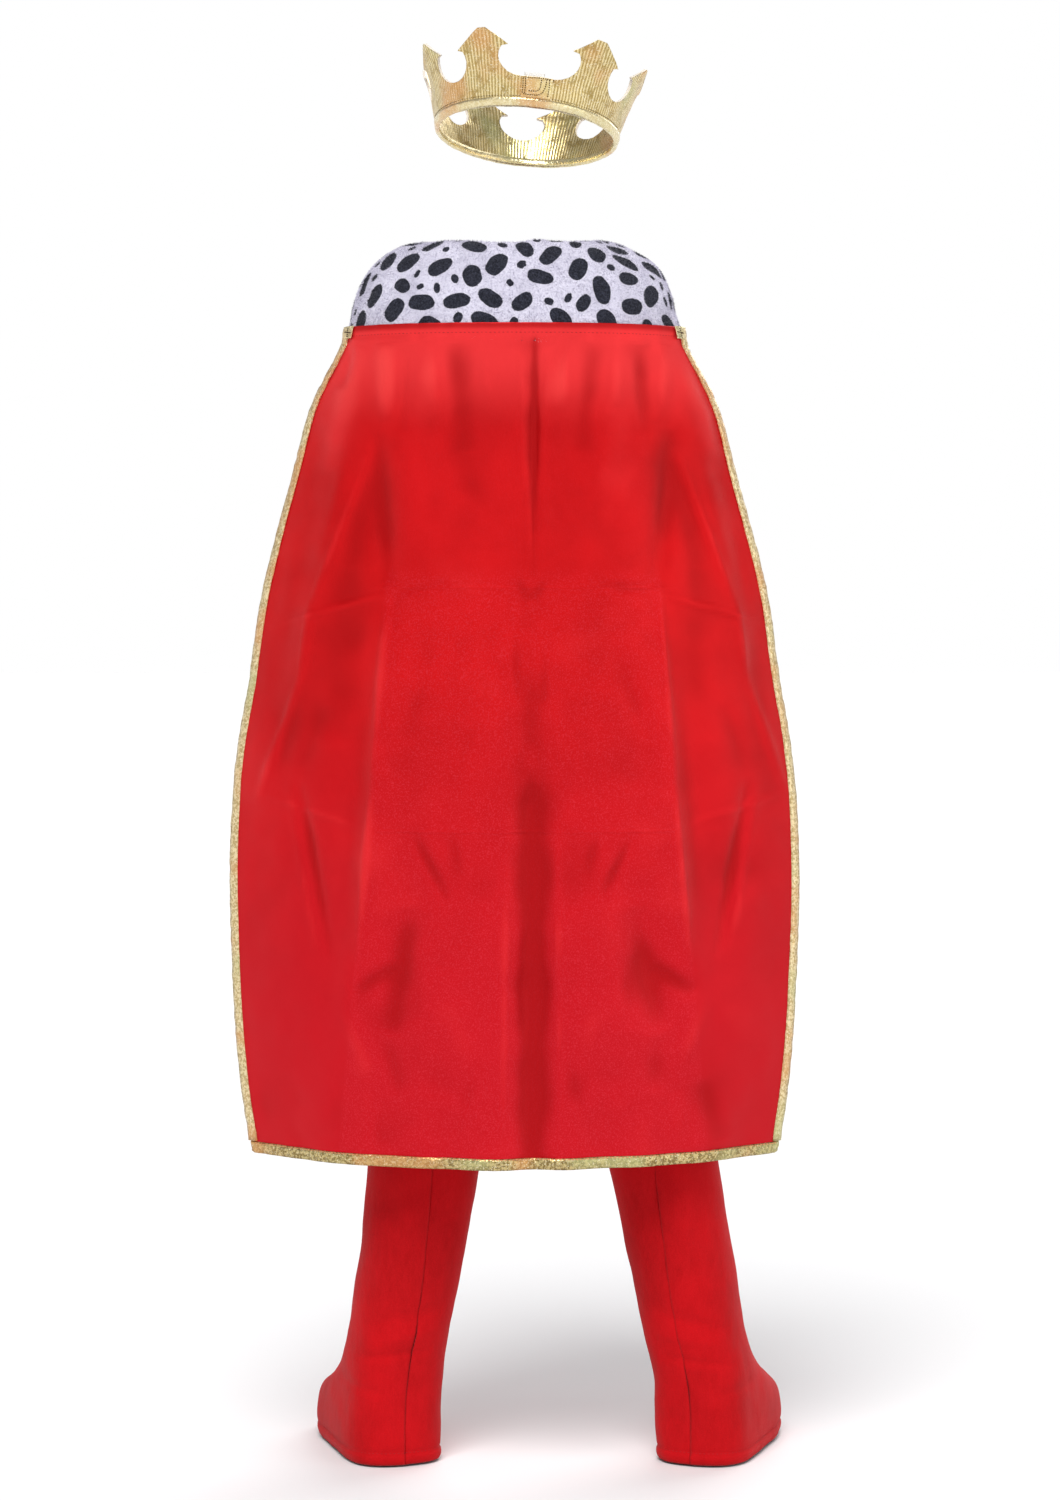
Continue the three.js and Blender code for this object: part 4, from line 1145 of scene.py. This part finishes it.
# Spots: ovals of three sizes, in millimetres, scattered with a clear way between them
SpotSize = namedtuple("SpotSize", "half_long half_short tries")
Spot = namedtuple("Spot", "centre along across long short")
SPOT_SIZES = [
    SpotSize((9.4, 12.2), (6.4, 8.0), 1600),
    SpotSize((6.6, 9.2), (4.8, 6.4), 2600),
    SpotSize((3.2, 5.4), (2.6, 3.8), 3000),
]
SPOT_WAY = 3.7
SPOT_ROUNDNESS = 2.3  # 2 is an ellipse, and more is squarer


def spot_reach(spot, towards):
    """How far a spot's oval reaches in a direction, at any point of it."""
    up = spot.along.cross(spot.across)
    return math.hypot(
        towards.dot(spot.along) * spot.long,
        towards.dot(spot.across) * spot.short,
        towards.dot(up) * spot.short,
    )


def scatter_spots(piece):
    """Lays spots at random on a sheet, the large ones first, wherever one has room."""
    points, normals = points_and_normals(piece)
    spots = []
    for size in SPOT_SIZES:
        for _ in range(size.tries):
            v = random.randrange(len(points))
            long, short = random.uniform(*size.half_long), random.uniform(*size.half_short)
            up = Vector(normals[v])
            along = up.orthogonal().normalized()
            along.rotate(Matrix.Rotation(random.uniform(0, math.pi), 3, up))
            new = Spot(Vector(points[v]), along, up.cross(along), long * MM, short * MM)
            for other in spots:
                gap = new.centre - other.centre
                towards = gap.normalized()
                reaches = spot_reach(new, towards) + spot_reach(other, towards)
                if gap.length < reaches + SPOT_WAY * MM:
                    break
            else:
                spots.append(new)
    return spots


def spot_depths(points, spots):
    """How far inside the nearest spot each point lies, in millimetres, and less than 0 outside."""
    depth = np.full(len(points), -9.0)
    for centre, along, across, long, short in spots:
        away = points - np.array(centre)
        near = np.flatnonzero(np.abs(away).max(axis=1) < 0.03)
        away = away[near]
        oval = 0
        for way, half in ((along, long), (across, short), (along.cross(across), short)):
            oval = oval + np.abs(away @ np.array(way) / half) ** SPOT_ROUNDNESS
        inside = 1 - oval ** (1 / SPOT_ROUNDNESS)
        depth[near] = np.maximum(depth[near], inside * short / MM)
    return depth + rumple(points, 7, 0.8, 9.0) / MM


collar_spots = scatter_spots(collar)
store(collar, "spot", spot_depths(points_of(collar), collar_spots))
thicken(collar, COLLAR_CLOTH)
finish_piece(collar, PLUSH, ["collar"])


BLADE_HALF = 0.22 * MM
BLADE_ROOT = 0.2 * MM  # how far a hair starts below the cloth's face
PILE_LEAN = 0.35
PILE_TANGLE = 0.32


def unit(vectors):
    return vectors / np.maximum(np.linalg.norm(vectors, axis=1), 1e-12)[:, None]


def grow_pile(piece, name, count, length):
    """Short hairs, each one thin three-cornered blade, on the collar's outer side and rims."""
    mesh = piece.data
    mesh.calc_loop_triangles()
    corners = np.empty(len(mesh.loop_triangles) * 3, dtype=int)
    mesh.loop_triangles.foreach_get("vertices", corners)
    corners = corners.reshape(-1, 3)
    points, normals = points_and_normals(piece)
    a, b, c = (points[corners[:, i]] for i in range(3))
    cross = np.cross(b - a, c - a)
    outward = unit(cross)
    away = unit((a + b + c) / 3 * np.array([1, 1, 0]))
    # Hairs grow where the plush looks outwards or up, and the more of them the larger the face
    shown = (outward * away).sum(axis=1) + 0.9 * outward[:, 2] > -0.25
    chance = np.linalg.norm(cross, axis=1) * shown
    draw = np.random.default_rng(5)
    chosen = draw.choice(len(corners), size=count, p=chance / chance.sum())
    u, v = draw.random(count), draw.random(count)
    over = u + v > 1
    u, v = np.where(over, 1 - u, u), np.where(over, 1 - v, v)
    share = np.stack([1 - u - v, u, v], axis=1)[:, :, None]
    root = (points[corners[chosen]] * share).sum(axis=1)
    normal = unit((normals[corners[chosen]] * share).sum(axis=1))
    lean = np.array([0, 0, -PILE_LEAN]) + draw.normal(0, PILE_TANGLE, (count, 3))
    rise = unit(normal + lean)
    side = unit(np.cross(rise, draw.normal(0, 1, (count, 3)))) * BLADE_HALF
    reach = length * draw.uniform(0.6, 1.15, count)[:, None]
    root = root - normal * BLADE_ROOT
    blades = np.stack([root - side, root + side, root + rise * reach], axis=1)
    pile_mesh = bpy.data.meshes.new(name)
    pile_mesh.from_pydata(blades.reshape(-1, 3), [], np.arange(count * 3).reshape(-1, 3))
    pile = new_object(name, pile_mesh)
    store(pile, "spot", np.repeat(spot_depths(root, collar_spots), 3))
    return finish_piece(pile, PLUSH)


collar_pile = grow_pile(collar, "plush_pile", 120000, 2.0 * MM)


# The crown

CROWN_MIDDLE = placed(-10, -8, 1114.5)
CROWN_HALF_WIDTH = 76 * MM
CROWN_HALF_DEPTH = 94 * MM
CROWN_MEAN_HALF = (CROWN_HALF_WIDTH + CROWN_HALF_DEPTH) / 2
CROWN_TALL = 55.5 * MM
CROWN_SPREAD = 0.2  # how much wider it grows with height, and how much more by its full height
CROWN_CURL = 0.16
CROWN_NOD = math.radians(8.6)
CROWN_ROLL = math.radians(-5)
CROWN_TURN = math.radians(-4)  # where the join lies round the band
CROWN_FACETS = 48
CUT_EDGE = 0.6  # a face whose normal is further from the band's own than this cosine is cut foam
CROWN_SET = (
    Matrix.Translation(CROWN_MIDDLE)
    @ Matrix.Rotation(CROWN_ROLL, 4, "Y")
    @ Matrix.Rotation(CROWN_NOD, 4, "X")
)
CROWN_UNSET = CROWN_SET.inverted()


def crown_reach(up):
    """How much further out the crown's face is at a height than at its foot."""
    return up * (CROWN_SPREAD + CROWN_CURL * up / CROWN_TALL)


def crown_place(angle, up, out):
    """A place on the crown: an angle round it, a height and a distance outwards."""
    reach = crown_reach(up) + out
    x = -math.sin(angle) * (CROWN_HALF_WIDTH + reach)
    return CROWN_SET @ Vector((x, math.cos(angle) * (CROWN_HALF_DEPTH + reach), up))


def crown_run(places, lift):
    """A run over the crown's outer face, from millimetres round it from the join, and heights."""
    run = []
    for across, up in places:
        angle = -CROWN_TURN + across * MM / CROWN_HALF_WIDTH
        point = crown_place(angle, up * MM, lift)
        out = crown_place(angle, up * MM, lift + 1 * MM) - point
        run.append((point, out.normalized()))
    return run


def crown_angle(local):
    """The angle round the crown of a place in its own, upright frame."""
    reach = crown_reach(max(0.0, local.z))
    return math.atan2(-local.x / (CROWN_HALF_WIDTH + reach), local.y / (CROWN_HALF_DEPTH + reach))


def round_off(piece):
    """Brings the flat facets of a crown piece out to the true oval."""
    step = 2 * math.pi / CROWN_FACETS
    for vertex in piece.data.vertices:
        local = CROWN_UNSET @ vertex.co
        off_middle = (crown_angle(local) % step) - step / 2
        grow = math.cos(off_middle) / math.cos(step / 2)
        vertex.co = CROWN_SET @ Vector((local.x * grow, local.y * grow, local.z))
    piece.data.update()


def crown_out(angle, up):
    """Which way the crown's outer face looks, as the crown itself is turned."""
    out = Vector((-math.sin(angle) / CROWN_HALF_WIDTH, math.cos(angle) / CROWN_HALF_DEPTH, 0))
    out.normalize()
    out.z = -(CROWN_SPREAD + 2 * CROWN_CURL * up / CROWN_TALL)
    return out.normalized()


def mark_lame(piece):
    """Keeps where each point lies round the crown, for the lame's ribs."""
    angles = [crown_angle(CROWN_UNSET @ Vector(point)) for point in points_of(piece)]
    store(piece, "round", np.array(angles) * CROWN_MEAN_HALF)


crown = copy_of("crown_band", "lame_crown_band")
bevel_edges(crown, 0.3 * MM)
edit_all(crown)
bpy.ops.mesh.quads_convert_to_tris()
bpy.ops.mesh.subdivide(number_cuts=3)
end_edit()
round_off(crown)
mark_lame(crown)
crown_points = points_of(crown)
raise_surface(crown, rumple(crown_points, 16, 0.8, 6.0) + rumple(crown_points, 5, 0.15, 6.5))
finish_piece(crown, CROWN_LAME, ["crown_band"])
crown.data.materials.append(FOAM)
for face in crown.data.polygons:
    local = CROWN_UNSET.to_3x3() @ face.normal
    middle = CROWN_UNSET @ face.center
    out = crown_out(crown_angle(middle), middle.z)
    if abs(local.dot(out)) < CUT_EDGE:
        face.material_index = 1
pick(crown)
bpy.ops.object.shade_smooth_by_angle(angle=BEVEL_TURN)

# The binding round the crown's lower edge: its section, spun round, then drawn out to the oval.
# The section's places are millimetres outwards and up from the band's lower outer edge.
BINDING_SECTION = [
    (0.45, 5.7), (1.2, 5.2), (1.6, 3.4), (1.35, 1.2), (0.8, -0.6), (-0.4, -1.5), (-1.6, -1.5),
    (-2.9, -0.9), (-3.6, 0.6), (-3.6, 3.2), (-3.1, 5.4), (-2.7, 5.5), (-2.7, 0.6), (-1.2, -0.3),
    (0.2, 0.3), (0.4, 3.0),
]


def spin_section(name, section, steps):
    """A ring round the crown's foot from its section."""
    deselect_all()
    bpy.ops.mesh.primitive_circle_add(vertices=len(section), radius=1 * MM, fill_type="NOTHING")
    piece = bpy.context.active_object
    piece.name = name
    for vertex, (out, up) in zip(piece.data.vertices, section):
        vertex.co = (CROWN_MEAN_HALF + (out + CROWN_SPREAD * up) * MM, 0, up * MM)
    edit_all(piece)
    bpy.ops.mesh.select_mode(type="VERT")
    bpy.ops.mesh.select_all(action="SELECT")
    bpy.ops.mesh.spin(steps=steps, angle=2 * math.pi, center=(0, 0, 0), axis=(0, 0, 1))
    bpy.ops.mesh.select_all(action="SELECT")
    bpy.ops.mesh.remove_doubles(threshold=0.00001)
    bpy.ops.mesh.normals_make_consistent(inside=False)
    end_edit()
    wide, deep = CROWN_HALF_WIDTH / CROWN_MEAN_HALF, CROWN_HALF_DEPTH / CROWN_MEAN_HALF
    for vertex in piece.data.vertices:
        vertex.co = CROWN_SET @ Vector((vertex.co.x * wide, vertex.co.y * deep, vertex.co.z))
    piece.data.update()
    return piece


crown_binding = spin_section("lame_crown_binding", BINDING_SECTION, 300)
ring_points = points_of(crown_binding)
raise_surface(crown_binding, rumple(ring_points, 9, 0.4, 7.0) + rumple(ring_points, 3, 0.08, 8.0))
finish_piece(crown_binding, BINDING_LAME, ["crown_binding"])


def soften_plate(node, name, material, bevel, on_crown=False):
    """A thin sewn-on plate of cloth, copied with its edges rounded and its face a little uneven."""
    piece = copy_of(node, name)
    if on_crown:
        round_off(piece)
    bevel_edges(piece, bevel)
    edit_all(piece)
    bpy.ops.mesh.subdivide(number_cuts=4)
    end_edit()
    points = points_of(piece)
    raise_surface(piece, rumple(points, 5, 0.3, 15.0) + rumple(points, 2, 0.12, 16.0))
    return finish_piece(piece, material, [node])


soften_plate("crown_tab", "lame_crown_tab", TAB_LAME, 0.3 * MM, on_crown=True)
soften_plate(
    "crown_hook_tape", "tape_behind_join", HOOK_TAPE, 0.3 * MM, on_crown=True
)

# The crown's stitching: a line over the binding all round, and the tab's box and bars. Places are
# millimetres round the crown from its join, and up.
ROUND_CROWN = 478
LINE_HEIGHT = 7.0
LINE_LIFT = 0.35 * MM
TAB_LIFT = 1.8 * MM
around_crown = [(across, LINE_HEIGHT) for across in [*range(0, ROUND_CROWN, 4), ROUND_CROWN]]
# Across the tab, to the right as seen from behind, and up
TAB_RUNS = [
    [(-9.6, 7.4), (-9.9, 14), (-9.4, 21.6)],
    [(-7.4, 21.4), (-7.0, 15), (-5.4, 10.2), (-1.6, 8.0), (4.5, 7.9), (10.6, 8.4)],
    [(-3.4, 20.6), (-3.1, 13.6), (-1.0, 11.2), (4.0, 10.9), (7.4, 11.2)],
    [(8.6, 8.6), (8.4, 14.6), (8.7, 21.4)],
    [(10.5, 8.6), (10.3, 14.6), (10.5, 21.4)],
    [(-10.4, 21.3), (0, 21.5), (11.4, 21.2)],
]
stitches(
    "stitches_crown", [crown_run(around_crown, LINE_LIFT)],
    2.0 * MM, 0.6 * MM, DARK_GOLD_THREAD, 0.55 * MM,
)
stitches(
    "stitches_crown_tab",
    [crown_run([(-x, h) for x, h in run], TAB_LIFT) for run in TAB_RUNS],
    1.5 * MM, 0.3 * MM, DARK_GOLD_THREAD, 1.1 * MM,
)

# The squares that hold the cape's corners, each sewn down with a cross
PATCH_ARM = 5.2 * MM
PATCH_PROBE = 0.05
patch_runs = []
for side in ("left", "right"):
    patch = soften_plate(
        f"corner_patch_{side}", f"patch_{side}", BINDING_LAME, 0.25 * MM
    )
    low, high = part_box(f"corner_patch_{side}")
    middle = (Vector(low) + Vector(high)) / 2
    outside = Vector((math.copysign(1, middle.x), 0.35, 0)).normalized()
    tree = tree_of(patch)
    centre, facing = tree.ray_cast(middle + outside * PATCH_PROBE, -outside)[:2]
    if facing.dot(outside) < 0:
        facing = -facing
    across = Vector((0, 0, 1)).cross(facing).normalized()
    upright = facing.cross(across).normalized()
    for line in ([(-1, 0.1), (1, -0.1)], [(0.1, -1), (-0.1, 1)]):
        ends = [centre + (across * a + upright * b) * PATCH_ARM for a, b in line]
        starts = [point + facing * PATCH_PROBE for point in dense_line(ends)]
        patch_runs.append(drawn_on([tree], starts, [-facing] * len(starts), 0.25 * MM))
patch_stitches = stitches(
    "stitches_patches", patch_runs, 1.5 * MM, 0.1 * MM, DARK_THREAD, 1.1 * MM
)


# Floor, light and camera

FLOOR_SIZE = 80
FLOOR_DROP = 2 * MM  # the floor lies this far below the soles, so that no faces coincide

deselect_all()
bpy.ops.mesh.primitive_plane_add(size=FLOOR_SIZE, location=(0, 0, -HOLD_HEIGHT - FLOOR_DROP))
floor = bpy.context.active_object
floor.name = "floor"
floor_shader = Shader("floor_paper")
floor_grain = floor_shader.noise(floor_shader.place(), 3.0, 2)
floor.data.materials.append(
    floor_shader.surface(
        floor_shader.mix(floor_grain, rgb(0.78, 0.78, 0.785), rgb(0.80, 0.80, 0.80)), 0.9
    )
)

# A pale studio: white all round at eye level, dimmer overhead
sky = Shader("studio", sky=True)
rise = sky.axis(sky.node("ShaderNodeTexCoord", output="Generated"), "Z").size()
glow = sky.node(
    "ShaderNodeBackground",
    None,
    sky.mix(rise.between(0.15, 0.4), rgb(1.0, 1.0, 1.0), rgb(0.26, 0.26, 0.27)),
    1.0,
)
sky.tree.links.new(glow.socket, sky.output.inputs["Surface"])
bpy.context.scene.world = sky.material
bpy.context.scene.view_settings.view_transform = "Standard"

# Broad lights that shine from far off, so that the floor is as bright everywhere
Lamp = namedtuple("Lamp", "name shines_from spread strength")
LAMPS = [
    Lamp("key", (0.2, 1.0, 1.25), 30, 2.7),
    Lamp("fill", (-1.2, 0.7, 0.4), 50, 0.5),
    Lamp("front", (-0.4, -1.0, 0.75), 50, 1.7),
]
for lamp in LAMPS:
    data = bpy.data.lights.new(lamp.name, "SUN")
    data.angle = math.radians(lamp.spread)
    data.energy = lamp.strength
    light = new_object(lamp.name, data)
    light.rotation_euler = Vector(lamp.shines_from).to_track_quat("Z", "Y").to_euler()

CAMERA_AWAY = 3.3
CAMERA_HEIGHT = 0.72  # above the floor
CAMERA_ASIDE = -0.013
CAMERA_DOWN = math.radians(2.08)
FOCAL_PIXELS = 3929
IMAGE_HEIGHT = 1500
SENSOR_HEIGHT = 36
camera_data = bpy.data.cameras.new("camera")
camera_data.sensor_fit = "VERTICAL"
camera_data.sensor_height = SENSOR_HEIGHT
camera_data.lens = FOCAL_PIXELS / IMAGE_HEIGHT * SENSOR_HEIGHT
camera = new_object("camera", camera_data)
camera.location = (CAMERA_ASIDE, CAMERA_AWAY, CAMERA_HEIGHT - HOLD_HEIGHT)
camera.rotation_euler = (math.radians(90) - CAMERA_DOWN, 0, math.radians(180))
bpy.context.scene.camera = camera
